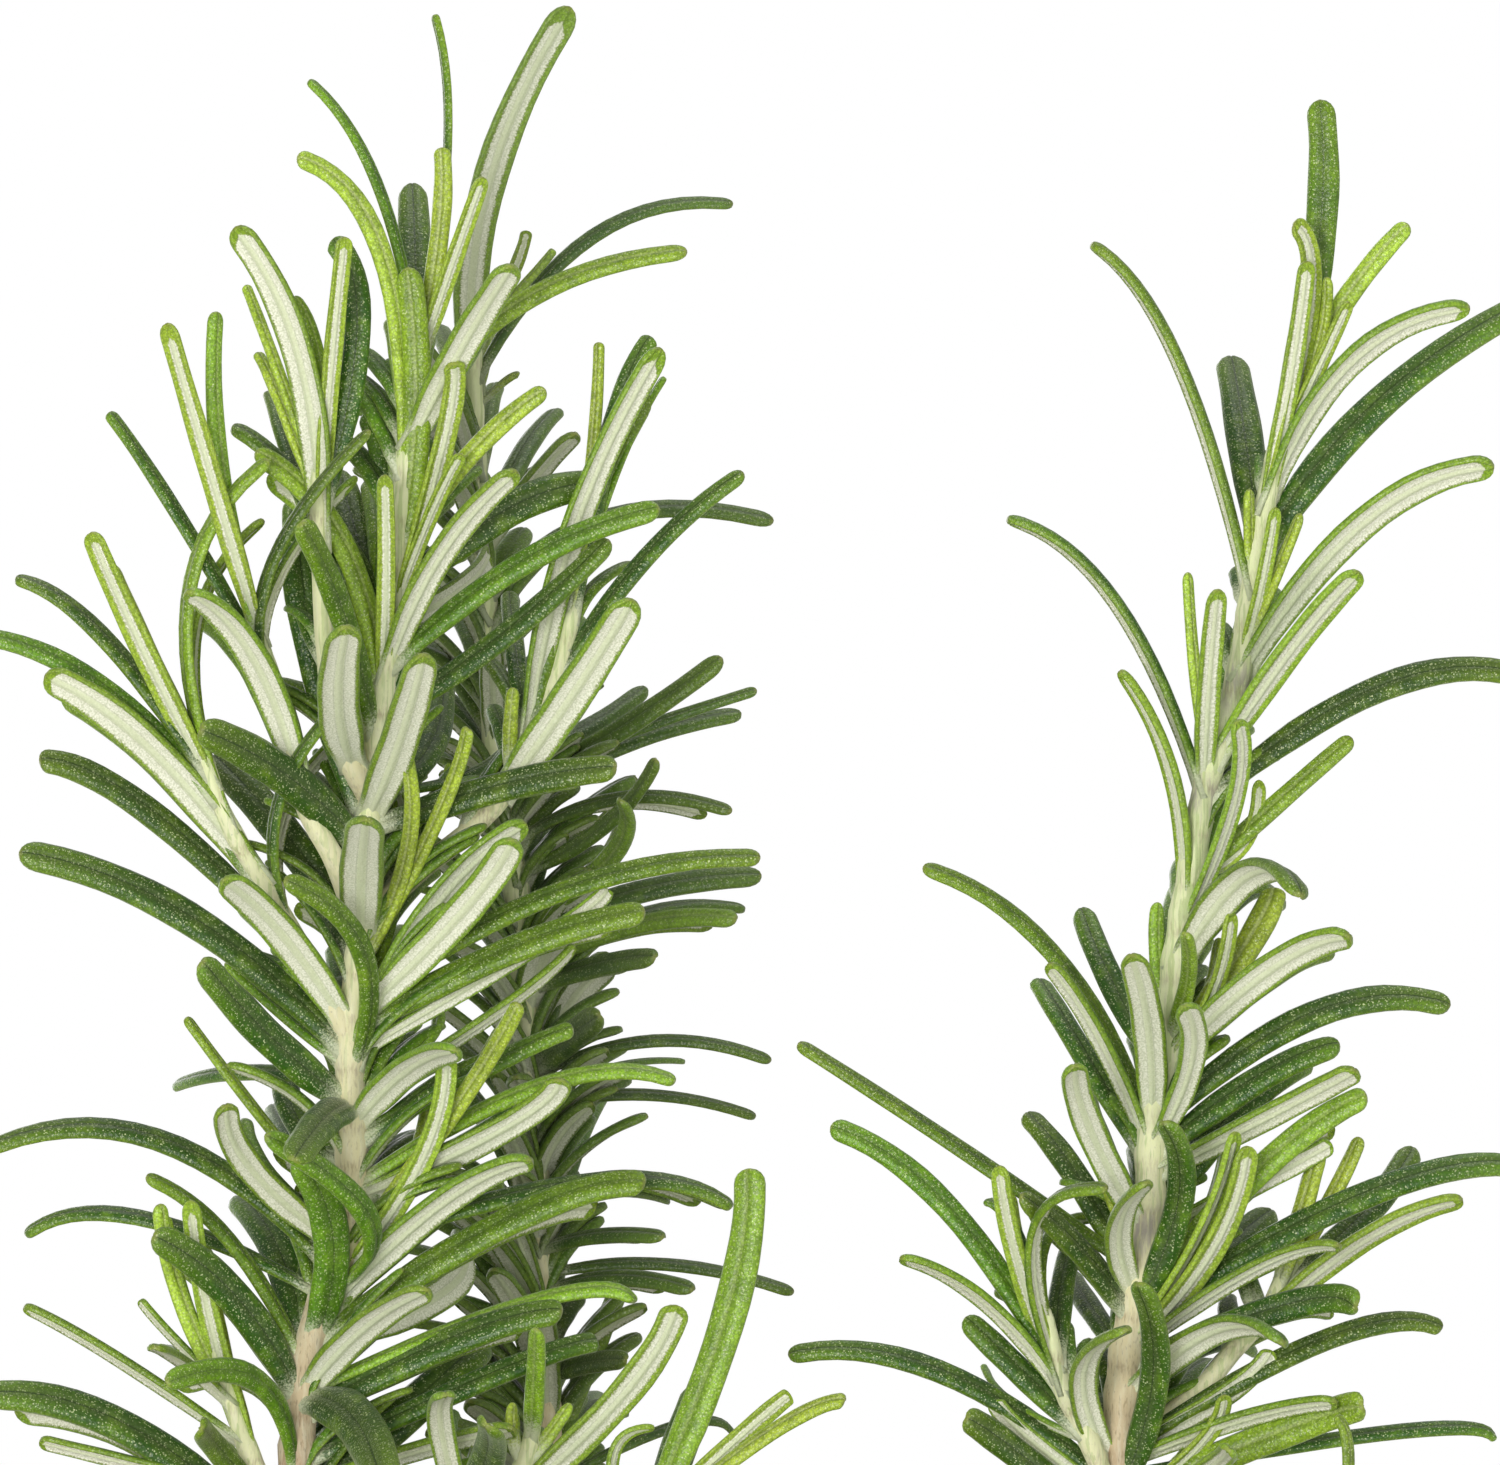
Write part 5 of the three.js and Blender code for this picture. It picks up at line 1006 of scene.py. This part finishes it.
class Finish(Nodes):
    """A material with short names for the nodes that its colours and relief are made of."""

    def __init__(self, name, **constants):
        self.material = bpy.data.materials.new(name)
        self.material.use_nodes = True
        super().__init__(self.material.node_tree)
        self.shader = self.tree.nodes["Principled BSDF"]
        for socket, value in constants.items():
            self.shader.inputs[socket.replace("_", " ")].default_value = value
        self.place = self.node("ShaderNodeTexCoord", {}, "Object")

    def attribute(self, name, output="Fac"):
        return self.node("ShaderNodeAttribute", {}, output, attribute_name=name)

    def maths(self, operation, a, b=0.0):
        return self.node("ShaderNodeMath", {0: a, 1: b}, operation=operation)

    def times(self, a, b):
        return self.maths("MULTIPLY", a, b)

    def plus(self, a, b):
        return self.maths("ADD", a, b)

    def rise(self, low, high, value, to_low=0.0, to_high=1.0):
        """A smooth change from to_low, where value is low, to to_high, where it is high."""
        inputs = {"Value": value, "From Min": low, "From Max": high, "To Min": to_low, "To Max": to_high}
        return self.node("ShaderNodeMapRange", inputs, interpolation_type="SMOOTHSTEP")

    def near(self, centre, reach, value, to_far=0.0, to_near=1.0):
        """The same from to_far, where value is reach away from the centre, to to_near at the centre."""
        away = self.maths("ABSOLUTE", self.maths("SUBTRACT", value, centre))
        return self.rise(reach, 0.0, away, to_far, to_near)

    def ramp(self, value, stops):
        made = self.tree.nodes.new("ShaderNodeValToRGB")
        elements = made.color_ramp.elements
        while len(elements) < len(stops):
            elements.new(0.5)
        for element, (position, colour) in zip(elements, stops):
            element.position = position
            element.color = colour
        self.tree.links.new(value, made.inputs["Fac"])
        return made.outputs["Color"]

    def mix(self, share, a, b):
        return self.node("ShaderNodeMix", {0: share, 6: a, 7: b}, 2, data_type="RGBA")

    def stretched(self, x, y, z):
        return self.node("ShaderNodeMapping", {"Vector": self.place, "Scale": (x, y, z)})

    def noise(self, per_mm, detail=2.0, place=None, roughness=0.5):
        inputs = {"Vector": place or self.place, "Scale": per_mm / MM}
        return self.node("ShaderNodeTexNoise", {**inputs, "Detail": detail, "Roughness": roughness})

    def cells(self, per_mm, output="Distance", place=None):
        inputs = {"Vector": place or self.place, "Scale": per_mm / MM}
        return self.node("ShaderNodeTexVoronoi", inputs, output)

    def dots(self, per_mm, radius, share, place=None):
        """Round dots in that share of the cells, with their radius given in cells."""
        near = self.rise(radius, radius * 0.45, self.cells(per_mm, "Distance", place))
        chosen = self.node("ShaderNodeSeparateColor", {"Color": self.cells(per_mm, "Color", place)}, "Red")
        return self.times(near, self.maths("LESS_THAN", chosen, share))

    def relief(self, height, depth, strength=1.0, under=None):
        inputs = {"Height": height, "Distance": depth * MM, "Strength": strength}
        if under is not None:
            inputs["Normal"] = under
        return self.node("ShaderNodeBump", inputs, "Normal")

    def set(self, **sockets):
        for socket, value in sockets.items():
            self.tree.links.new(value, self.shader.inputs[socket.replace("_", " ")])
        return self.material


def leaf_finish():
    """Green, pebbled and finely speckled above, with painted light, glints and shade; white felt and a pale
    midrib beneath; cream at the root.
    """
    leaf = Finish("rosemary_leaf", Sheen_Weight=0.1, Sheen_Roughness=0.4, Specular_IOR_Level=0.42)
    around, along = leaf.attribute("around"), leaf.attribute("along")
    age, tint, share = leaf.attribute("age"), leaf.attribute("tint"), leaf.attribute("share")
    own = leaf.node("ShaderNodeVectorMath", {0: leaf.attribute("own", "Vector"), 1: (MM, MM, MM)},
                    operation="MULTIPLY")
    years = leaf.maths("DIVIDE", age, 3.0)
    old = leaf.rise(0.55, 0.1, years)
    green = leaf.ramp(years, [(0.0, srgb(46, 82, 9)), (0.33, srgb(92, 131, 18)), (0.66, srgb(138, 174, 42)),
                              (1.0, srgb(180, 204, 64))])
    # broad patches, a yellower end, and painted light and shade: the shoulders painted brighter than the
    # top
    mottle = leaf.noise(0.55, 3.0)
    green = leaf.mix(leaf.rise(0.6, 0.3, mottle, 0.0, 0.35), green, srgb(42, 70, 15))
    fresher = leaf.rise(0.45, 0.75, mottle, 0.0, 0.4)
    fresher = leaf.maths("MAXIMUM", fresher, leaf.rise(0.55, 1.0, share, 0.0, 0.4))
    # a random tone from the tint, times painted light on the shoulders and painted shade on the top
    tint_and_painted_light = leaf.times(leaf.rise(0.0, 1.0, tint, 0.86, 1.14), leaf.rise(0.12, 0.34, around, 0.9, 1.2))
    green = leaf.node("ShaderNodeHueSaturation", {
        "Hue": leaf.rise(0.0, 1.0, tint, 0.49, 0.51), "Value": tint_and_painted_light,
        "Color": leaf.mix(fresher, green, srgb(138, 170, 44))})
    # grey dust and a painted grey sheen on the top of old leaves, with painted shade in their groove; the
    # groove of young ones is pale
    # grey dust, and a painted reflection of the light from above on the up-facing tops
    dust_and_sheen = leaf.times(leaf.rise(0.3, 0.08, around, 0.0, 0.36), old)
    green = leaf.mix(dust_and_sheen, green, srgb(96, 112, 62))
    # painted shade: the groove of old leaves is darkened
    groove = leaf.rise(0.05, 0.0, around)
    green = leaf.mix(leaf.times(groove, old), green, srgb(50, 68, 28))
    pale = leaf.times(leaf.rise(0.12, 0.02, around), leaf.rise(0.3, 1.0, years, 0.0, 0.4))
    green = leaf.mix(pale, green, srgb(226, 232, 168))
    green = leaf.mix(leaf.rise(0.42, 0.6, around, 0.0, 0.6), green, srgb(146, 176, 50))
    # specks of oil and hair, with painted highlight glints among them, crowded on the shoulders where the
    # light catches
    specks_and_glints = leaf.maths("MAXIMUM", leaf.dots(3.6, 0.36, 0.5, own), leaf.dots(6.0, 0.4, 0.4, own))
    painted_glint_band = leaf.near(0.3, 0.2, around, 0.35, 0.75)
    green = leaf.mix(leaf.times(specks_and_glints, painted_glint_band), green, srgb(222, 230, 176))
    gaps = leaf.times(leaf.rise(0.4, 0.62, leaf.cells(4.2, "Distance", own)), 0.35)
    green = leaf.mix(gaps, green, srgb(44, 66, 20))
    # felt: white, with a broad pale midrib between two thin lines, a fine grain and a few dots
    grain = leaf.noise(6.0, 3.0, own)
    felt = leaf.mix(leaf.rise(0.35, 0.65, grain), srgb(204, 207, 178), srgb(236, 236, 217))
    felt = leaf.mix(leaf.times(leaf.dots(2.9, 0.17, 0.4, own), 0.4), felt, srgb(160, 164, 130))
    felt = leaf.mix(leaf.rise(0.9, 0.94, around, 0.0, 0.7), felt, srgb(206, 214, 172))
    felt = leaf.mix(leaf.near(0.905, 0.022, around, 0.0, 0.4), felt, srgb(168, 176, 134))
    # the rolled margins reach further in on young leaves, and close over the tip
    rolled = leaf.plus(leaf.rise(0.2, 1.0, years, 0.0, -0.14), leaf.rise(0.93, 0.985, share, 0.0, -0.35))
    depth = leaf.plus(leaf.plus(around, leaf.rise(0.3, 0.7, grain, -0.02, 0.02)), rolled)
    inside = leaf.rise(0.66, 0.72, depth)
    line = leaf.near(0.69, 0.035, depth, 0.0, 0.35)
    colour = leaf.mix(line, leaf.mix(inside, green, felt), srgb(128, 130, 66))
    # felt over the root, painted shade on the leaves of a shoot that stands behind the others, and a dry
    # point at the tip
    root = leaf.rise(0.3, 0.7, grain, -0.7, 0.7)
    colour = leaf.mix(leaf.rise(3.6, 1.0, leaf.plus(along, root), 0.0, 0.9), colour, srgb(208, 212, 180))
    # painted shade: a darker, greyer copy of the leaf colour, less of it on the felt
    painted_shade = leaf.times(leaf.attribute("painted_shade"), leaf.rise(0.0, 1.0, inside, 0.7, 0.3))
    colour = leaf.mix(painted_shade, colour, srgb(84, 100, 58))
    colour = leaf.mix(leaf.rise(0.985, 1.0, share, 0.0, 0.5), colour, srgb(150, 150, 80))
    pebbles = leaf.relief(leaf.cells(3.6, "Distance", own), 0.07, 0.7)
    relief = leaf.relief(grain, 0.03, 0.6, pebbles)
    rough = leaf.rise(0.6, 0.75, around, 0.36, 0.92)
    return leaf.set(Base_Color=colour, Roughness=rough, Normal=relief)


def stem_finish():
    """Brown bark low down, tan and then pale green higher up, with streaks, bristles and crack lines."""
    stem = Finish("rosemary_stem", Sheen_Weight=0.15, Sheen_Roughness=0.5)
    youth = stem.attribute("youth")
    colour = stem.ramp(youth, [
        (0.0, srgb(118, 96, 76)), (0.3, srgb(182, 156, 128)), (0.5, srgb(220, 204, 164)),
        (0.75, srgb(230, 228, 182)), (1.0, srgb(228, 234, 182))])
    streaks = stem.noise(2.6, 3.0, stem.stretched(1, 1, 0.14))
    colour = stem.mix(stem.rise(0.4, 0.7, streaks, 0.0, 0.45), colour, srgb(230, 226, 198))
    lines = stem.noise(2.4, 2.0, stem.stretched(1, 1, 0.03))
    fresh = stem.times(stem.rise(0.52, 0.6, lines), stem.rise(0.55, 0.85, youth, 0.0, 0.5))
    colour = stem.mix(fresh, colour, srgb(166, 188, 112))
    old = stem.rise(0.9, 0.1, youth, 0.12, 0.6)
    bristles = stem.noise(5.0, 2.0, stem.stretched(1, 1, 0.25))
    colour = stem.mix(stem.times(stem.rise(0.56, 0.72, bristles), old), colour, srgb(120, 92, 66))
    colour = stem.mix(stem.times(stem.dots(0.8, 0.1, 0.5), old), colour, srgb(70, 50, 38))
    bruise = stem.times(stem.attribute("bruise"), stem.rise(0.35, 0.65, streaks, 0.15, 0.75))
    colour = stem.mix(bruise, colour, srgb(158, 146, 146))
    scar = stem.times(stem.attribute("scar"), stem.rise(0.4, 0.6, bristles, 0.1, 0.5))
    colour = stem.mix(scar, colour, srgb(140, 112, 84))
    ridges = stem.relief(streaks, 0.12, 0.7)
    felt = stem.relief(stem.noise(7.0, 2.0), 0.03, 0.7, ridges)
    return stem.set(Base_Color=colour, Normal=felt, Roughness=stem.rise(0.0, 1.0, streaks, 0.75, 0.95))


def clay_finish():
    """Unglazed terracotta: warm, grainy, with faint turning lines and a pale bloom near the base."""
    clay = Finish("terracotta")
    height = clay.node("ShaderNodeSeparateXYZ", {"Vector": clay.place}, "Z")
    broad = clay.noise(0.03, 4.0, roughness=0.6)
    colour = clay.mix(clay.rise(0.35, 0.65, broad), srgb(176, 100, 64), srgb(200, 126, 86))
    patches = clay.noise(0.09, 5.0, roughness=0.65)
    low = clay.rise(45 * MM, 4 * MM, height, 0.15, 0.75)
    bloom = clay.times(clay.rise(0.48, 0.68, patches), low)
    colour = clay.mix(bloom, colour, srgb(222, 196, 172))
    damp = clay.times(clay.rise(0.45, 0.62, clay.noise(0.05, 4.0)), 0.3)
    colour = clay.mix(damp, colour, srgb(142, 78, 50))
    grain = clay.noise(2.2, 4.0, roughness=0.7)
    colour = clay.mix(clay.rise(0.4, 0.75, grain, 0.0, 0.28), colour, srgb(224, 168, 132))
    colour = clay.mix(clay.dots(0.5, 0.1, 0.35), colour, srgb(110, 66, 46))
    lines = clay.noise(0.55, 2.0, clay.stretched(0.02, 0.02, 1))
    turning = clay.relief(lines, 0.22, 0.6)
    relief = clay.relief(grain, 0.12, 0.6, turning)
    return clay.set(Base_Color=colour, Roughness=clay.rise(0.3, 0.7, broad, 0.82, 0.94), Normal=relief)


def soil_finish():
    """Dark potting soil; kind sets a crumb's stuff: 0 soil, 1 bark, 2 perlite."""
    soil = Finish("potting_soil")
    kind, tint = soil.attribute("kind"), soil.attribute("tint")
    grain = soil.noise(1.4, 5.0, roughness=0.7)
    earth = soil.mix(soil.rise(0.3, 0.7, grain), srgb(44, 32, 24), srgb(88, 66, 48))
    earth = soil.mix(soil.rise(0.4, 1.0, tint, 0.0, 0.5), earth, srgb(104, 78, 56))
    fibres = soil.noise(1.2, 3.0, soil.stretched(1, 1, 0.2))
    bark = soil.mix(soil.rise(0.35, 0.7, fibres), srgb(86, 56, 38), srgb(150, 108, 76))
    colour = soil.mix(soil.maths("GREATER_THAN", kind, 0.5), earth, bark)
    colour = soil.mix(soil.maths("GREATER_THAN", kind, 1.5), colour, srgb(222, 218, 208))
    relief = soil.relief(grain, 0.35, 0.9)
    return soil.set(Base_Color=colour, Normal=relief, Roughness=soil.rise(0.3, 0.7, grain, 0.85, 1.0))


# ---- pot ----
POT_SIDES = 144
ARC_STEPS = 5
STRAIGHT_STEP = 3
# Lathed surfaces start and end this far from their axis.
CENTRE_GAP = 0.5
OUT_OF_ROUND = 0.0012
# A drain hole's cutter, and how far it reaches past the floor on both sides.
CUTTER_SIDES = 40
CUTTER_GIRTH = 25
CUTTER_PAST = 4


def inside_radius(z):
    """Radius of the pot's inside at height z: the wall is a straight cone there."""
    rise = (z - EDGE_ROUNDING) / (POT_HEIGHT - RIM_HEIGHT - EDGE_ROUNDING)
    return min(mix(POT_BASE_RADIUS, POT_TOP_RADIUS, rise) - POT_WALL, RIM_RADIUS - POT_WALL)


def softened(corners, reach):
    """A profile with its corners rounded, and its straights cut into short steps."""
    corners = [np.array(c, float) for c in corners]
    profile = [corners[0]]
    for before, corner, after in zip(corners, corners[1:], corners[2:]):
        first = corner + unit(before - corner) * min(reach, np.linalg.norm(before - corner) * 0.45)
        last = corner + unit(after - corner) * min(reach, np.linalg.norm(after - corner) * 0.45)
        for t in np.linspace(0, 1, ARC_STEPS):
            profile.append((1 - t) ** 2 * first + 2 * t * (1 - t) * corner + t**2 * last)
    profile.append(corners[-1])
    fine = [profile[0]]
    for a, b in zip(profile, profile[1:]):
        steps = max(1, math.ceil(np.linalg.norm(b - a) / STRAIGHT_STEP))
        fine += [a + (b - a) * k / steps for k in range(1, steps + 1)]
    return np.array(fine)


def lathe_rings(profile, sides, turn, wobble=0.0):
    """Rings round +Z through a profile of [radius, height], anticlockwise from above where turn is 1."""
    angle = turn * math.tau * np.arange(sides) / sides
    radius = profile[:, 0, None] * (1 + wobble * (np.sin(2 * angle + 0.7) + 0.6 * np.sin(3 * angle + 2.1)))
    return np.stack([radius * np.cos(angle), radius * np.sin(angle),
                     np.broadcast_to(profile[:, 1, None], radius.shape)], axis=-1)


def lathed(rings, profile, girth, **values):
    """The tube of rings that stand round a profile."""
    return {"rings": rings, "along": lengths_along(profile), "girth": girth, "values": values}


def make_pot(finish):
    rim_bottom = POT_HEIGHT - RIM_HEIGHT
    corners = [
        (CENTRE_GAP, 0), (POT_BASE_RADIUS, 0), (POT_TOP_RADIUS, rim_bottom),
        (RIM_RADIUS - RIM_STEP, rim_bottom + 0.6), (RIM_RADIUS, POT_HEIGHT),
        (RIM_RADIUS - POT_WALL, POT_HEIGHT), (inside_radius(SOIL_TOP), SOIL_TOP),
        (inside_radius(POT_FLOOR), POT_FLOOR), (CENTRE_GAP, POT_FLOOR)]
    profile = softened(corners, EDGE_ROUNDING)
    rings = lathe_rings(profile, POT_SIDES, 1, OUT_OF_ROUND)
    tube = lathed(rings, profile, math.tau * POT_TOP_RADIUS, tint=0.5)
    pot = object_from_tubes("clay_pot", [tube], [finish])
    cutters = []
    for k in range(DRAIN_HOLES):
        angle = (k + 0.25) * math.tau / DRAIN_HOLES
        low, high = -CUTTER_PAST, POT_FLOOR + CUTTER_PAST
        shape = softened([(0.2, low), (DRAIN_HOLE_RADIUS + 0.6, low), (DRAIN_HOLE_RADIUS, 1),
                          (DRAIN_HOLE_RADIUS, high), (0.2, high)], 0.4)
        hole = lathe_rings(shape, CUTTER_SIDES, 1)
        hole += [DRAIN_HOLE_CIRCLE * math.cos(angle), DRAIN_HOLE_CIRCLE * math.sin(angle), 0]
        cutters.append(lathed(hole, shape, CUTTER_GIRTH, tint=0.5))
    cutter = object_from_tubes("drain_holes", cutters, [finish])
    cut = pot.modifiers.new("drain_holes", "BOOLEAN")
    cut.operation = "DIFFERENCE"
    cut.object = cutter
    cut.solver = "EXACT"
    applied = bpy.data.meshes.new_from_object(pot.evaluated_get(bpy.context.evaluated_depsgraph_get()))
    pot.modifiers.clear()
    pot.data = applied
    bpy.data.objects.remove(cutter)
    return pot


# ---- soil ----
SOIL_SIDES = 168
SOIL_RINGS = 90
FINE_BUMP = 0.9
LUMP_RINGS = 5
LUMP_SIDES = 7
STEM_CLEARANCE = 2.6
# What lies on the soil, by its kind in the material: how many, least and greatest size, the power of the
# draw between them, and stretch.
CRUMBS = (1700, 0.9, 3.6, 3, (1, 0.85, 0.7))
BARK_CHIPS = (90, 2.5, 7, 2, (1, 0.45, 0.26))
PERLITE = (60, 0.9, 2.4, 1, (1, 0.9, 0.8))
LUMPS = [CRUMBS, BARK_CHIPS, PERLITE]


def soil_bump(x, y):
    """The lumps of the solid's surface, with finer ones on top."""
    bump = np.sin(0.29 * x + 1) * np.cos(0.23 * y) + 0.6 * np.sin(0.51 * y - 0.37 * x)
    fine = (0.5 * np.sin(1.3 * x + 0.8 * y + 2) * np.sin(1.1 * y - 0.6 * x)
            + 0.35 * np.sin(2.3 * x - 1.7 * y) * np.sin(2.9 * y + 1.9 * x + 1))
    return SOIL_BUMP * bump + FINE_BUMP * fine


def soil_height(x, y):
    """The height of the soil: a low crown with lumps, which falls off at the pot's wall."""
    edge = inside_radius(SOIL_TOP - SOIL_EDGE)
    radius = np.hypot(x, y)
    crown = SOIL_TOP + smooth(edge, 0, radius) - SOIL_EDGE * smooth(edge - 5, edge, radius)
    return crown + np.clip((edge - radius) / 8, 0, 1) * soil_bump(x, y)


def make_soil(finish):
    edge = inside_radius(SOIL_TOP - SOIL_EDGE) - 0.2
    bottom = POT_FLOOR + 0.4
    surface = [[radius, SOIL_TOP] for radius in np.linspace(0.4, edge, SOIL_RINGS)]
    profile = np.array(surface + [[edge - 1, SOIL_TOP - 8], [inside_radius(POT_FLOOR) - 0.4, bottom],
                                  [CENTRE_GAP, bottom]])
    rings = lathe_rings(profile, SOIL_SIDES, -1)
    top = rings[:SOIL_RINGS]
    top[:, :, 2] = soil_height(top[:, :, 0], top[:, :, 1])
    tube = lathed(rings, profile, math.tau * edge * 0.6, kind=0.0, tint=0.3)
    return object_from_tubes("soil_bed", [tube], [finish])


def lump_mesh(centre, size, stretch, kind, random):
    """A rough lump: a ball of a few rings, dented by a few random waves."""
    lat = math.pi * (np.arange(LUMP_RINGS) + 0.5) / LUMP_RINGS
    lon = -math.tau * np.arange(LUMP_SIDES) / LUMP_SIDES
    ball = np.stack([np.sin(lat)[:, None] * np.cos(lon), np.sin(lat)[:, None] * np.sin(lon),
                     np.repeat(np.cos(lat)[:, None], LUMP_SIDES, axis=1)], axis=-1)
    dents = np.ones((LUMP_RINGS, LUMP_SIDES))
    for _ in range(3):
        wave = np.array([random() - 0.5, random() - 0.5, random() - 0.5]) * 7
        dents += 0.16 * np.sin(ball @ wave + TURN * random())
    ball = ball * dents[:, :, None] * np.array(stretch) * size / 2
    turn, tilt = TURN * random(), 0.9 * (random() - 0.5)
    spin = np.array([[math.cos(turn), -math.sin(turn), 0], [math.sin(turn), math.cos(turn), 0], [0, 0, 1]])
    lean = np.array([[math.cos(tilt), 0, math.sin(tilt)], [0, 1, 0], [-math.sin(tilt), 0, math.cos(tilt)]])
    return {"rings": ball @ lean.T @ spin.T + centre, "along": np.linspace(0, size, LUMP_RINGS),
            "girth": 2.5 * size, "values": {"kind": kind, "tint": random()}}


def make_crumbs(finish):
    """Crumbs, bark chips and perlite that lie on the soil, clear of the stems."""
    random = seeded_random(5)
    stems = [shoot["axes"]["main"]["points"][0][:2] for shoot in SHOOTS]
    limit = inside_radius(SOIL_TOP) - 1.5
    tubes = []
    for kind, (count, least, greatest, power, stretch) in enumerate(LUMPS):
        for _ in range(count):
            radius, angle = limit * math.sqrt(random()), TURN * random()
            x, y = radius * math.cos(angle), radius * math.sin(angle)
            draws = [random() for _ in LUMPS]
            size = mix(least, greatest, draws[kind] ** power)
            clear = STEM_CLEARANCE + size / 2
            if radius + size / 2 > limit or any(math.hypot(x - sx, y - sy) < clear for sx, sy in stems):
                continue
            centre = np.array([x, y, soil_height(x, y) + size * stretch[2] * 0.2])
            tubes.append(lump_mesh(centre, size, stretch, float(kind), random))
    return object_from_tubes("soil_crumbs", tubes, [finish])


# ---- the plant ----
# Between which heights a main stem turns from brown wood to green.
WOOD = {"shoot_left": (120, 268), "shoot_right": (150, 224), "shoot_back": (120, 245),
        "shoot_middle": (104, 190), "shoot_front_right": (104, 190)}
SHORT_WOOD = (104, 165)
# How young a side branch is at its foot, from 0 for wood to 1 for green.
BRANCH_YOUTH = 0.62
# Where a main stem is bruised: [height, reach].
BRUISES = {"shoot_right": [(244.8, 2.2), (235.6, 1.6), (199.6, 2.6)]}


def youth_of(shoot, axis):
    """How young a stem's skin is at height z, as a function of z: 0 for wood and 1 for green."""
    if axis == "main":
        return lambda z: smooth(*WOOD.get(shoot["name"], SHORT_WOOD), z)
    points = shoot["axes"][axis]["points"]
    bottom, top = points[0][2], points[-1][2]
    return lambda z: mix(BRANCH_YOUTH, 1, np.clip((z - bottom) / (top - bottom), 0, 1))


def make_shoot(shoot, leaf_material, stem_material):
    """A shoot's pieces in place of its solid: outer leaves, the other leaves if it has any, and stems."""
    name = shoot["name"]
    random = seeded_random(shoot["lower"]["seed"] + 200)
    leaves, outer = leaves_of(shoot)
    tubes = [leaf_mesh(leaf, random) for leaf in leaves]
    pieces = [object_from_tubes(name + "_leaves", tubes[:outer], [leaf_material])]
    if len(tubes) > outer:
        pieces.append(object_from_tubes(name + "_inner_leaves", tubes[outer:], [leaf_material]))
    stems = []
    for axis, shape in shoot["axes"].items():
        if axis == "main":
            own = leaves
        else:
            own = [leaf_from_row(shape["points"], row) for row in shoot["leaves"].get(axis, [])]
        bruises = BRUISES.get(name, []) if axis == "main" else []
        stems.append(stem_mesh(shape, node_heights(own), youth_of(shoot, axis), bruises, random))
    pieces.append(object_from_tubes(name + "_stems", stems, [stem_material]))
    for piece in pieces:
        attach(piece, "root")
        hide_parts(name)


leaf_material = leaf_finish()
stem_material = stem_finish()
for shoot in SHOOTS:
    make_shoot(shoot, leaf_material, stem_material)

pot = make_pot(clay_finish())
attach(pot, "root")
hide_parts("pot")

soil_material = soil_finish()
for piece in (make_soil(soil_material), make_crumbs(soil_material)):
    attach(piece, "root")
    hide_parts("soil")


# ---- floor, light and camera ----
def make_floor():
    profile = np.array([[FLOOR_CENTRE_GAP, FLOOR_TOP], [FLOOR_RADIUS, FLOOR_TOP],
                        [FLOOR_RADIUS, FLOOR_BOTTOM], [FLOOR_CENTRE_GAP, FLOOR_BOTTOM]], float)
    pale = Finish("pale_floor", Roughness=0.9, Base_Color=srgb(246, 246, 245))
    tube = lathed(lathe_rings(profile, FLOOR_SIDES, -1), profile, math.tau * FLOOR_RADIUS, tint=0.5)
    floor = object_from_tubes("floor", [tube], [pale.material])
    floor.data.shade_flat()


def area_light(name, place, target, size, power):
    data = bpy.data.lights.new(name, "AREA")
    data.shape = "DISK"
    data.size = size
    data.energy = power
    light = bpy.data.objects.new(name, data)
    light.location = place
    light.rotation_mode = "QUATERNION"
    light.rotation_quaternion = (Vector(target) - Vector(place)).to_track_quat("-Z", "Y")
    light.visible_camera = False
    bpy.context.scene.collection.objects.link(light)


def make_world():
    """White where the camera sees it; as light, brightest low down and darker overhead."""
    world = bpy.data.worlds.new("white_studio")
    world.use_nodes = True
    background = world.node_tree.nodes["Background"]
    background.inputs["Color"].default_value = (1, 1, 1, 1)
    sky = Nodes(world.node_tree)
    direction = sky.node("ShaderNodeTexCoord", {}, "Generated")
    height = sky.node("ShaderNodeSeparateXYZ", {"Vector": direction}, "Z")
    light = sky.node("ShaderNodeMapRange", {"Value": height, "From Min": 0.0, "From Max": OVERHEAD_FROM,
                                            "To Min": HORIZON_LIGHT, "To Max": OVERHEAD_LIGHT})
    seen = sky.node("ShaderNodeLightPath", {}, "Is Camera Ray")
    strength = sky.node("ShaderNodeMapRange", {"Value": seen, "To Min": light, "To Max": 1.0})
    sky.tree.links.new(strength, background.inputs["Strength"])
    bpy.context.scene.world = world


def make_camera():
    """A level camera far in front, as the photograph seems to have been taken."""
    data = bpy.data.cameras.new("camera")
    data.sensor_width = SENSOR_WIDTH
    data.lens = SENSOR_WIDTH * VIEW_DISTANCE / VIEW_WIDTH
    data.clip_end = 100
    camera = bpy.data.objects.new("camera", data)
    camera.location = (VIEW_CENTRE_X * MM, -VIEW_DISTANCE * MM, VIEW_CENTRE_Z * MM)
    camera.rotation_euler = (math.pi / 2, 0, 0)
    bpy.context.scene.collection.objects.link(camera)
    bpy.context.scene.camera = camera


make_floor()
make_world()
for lamp in LAMPS:
    area_light(*lamp)
make_camera()

scene = bpy.context.scene
scene.view_settings.view_transform = "Standard"
scene.view_settings.look = "None"
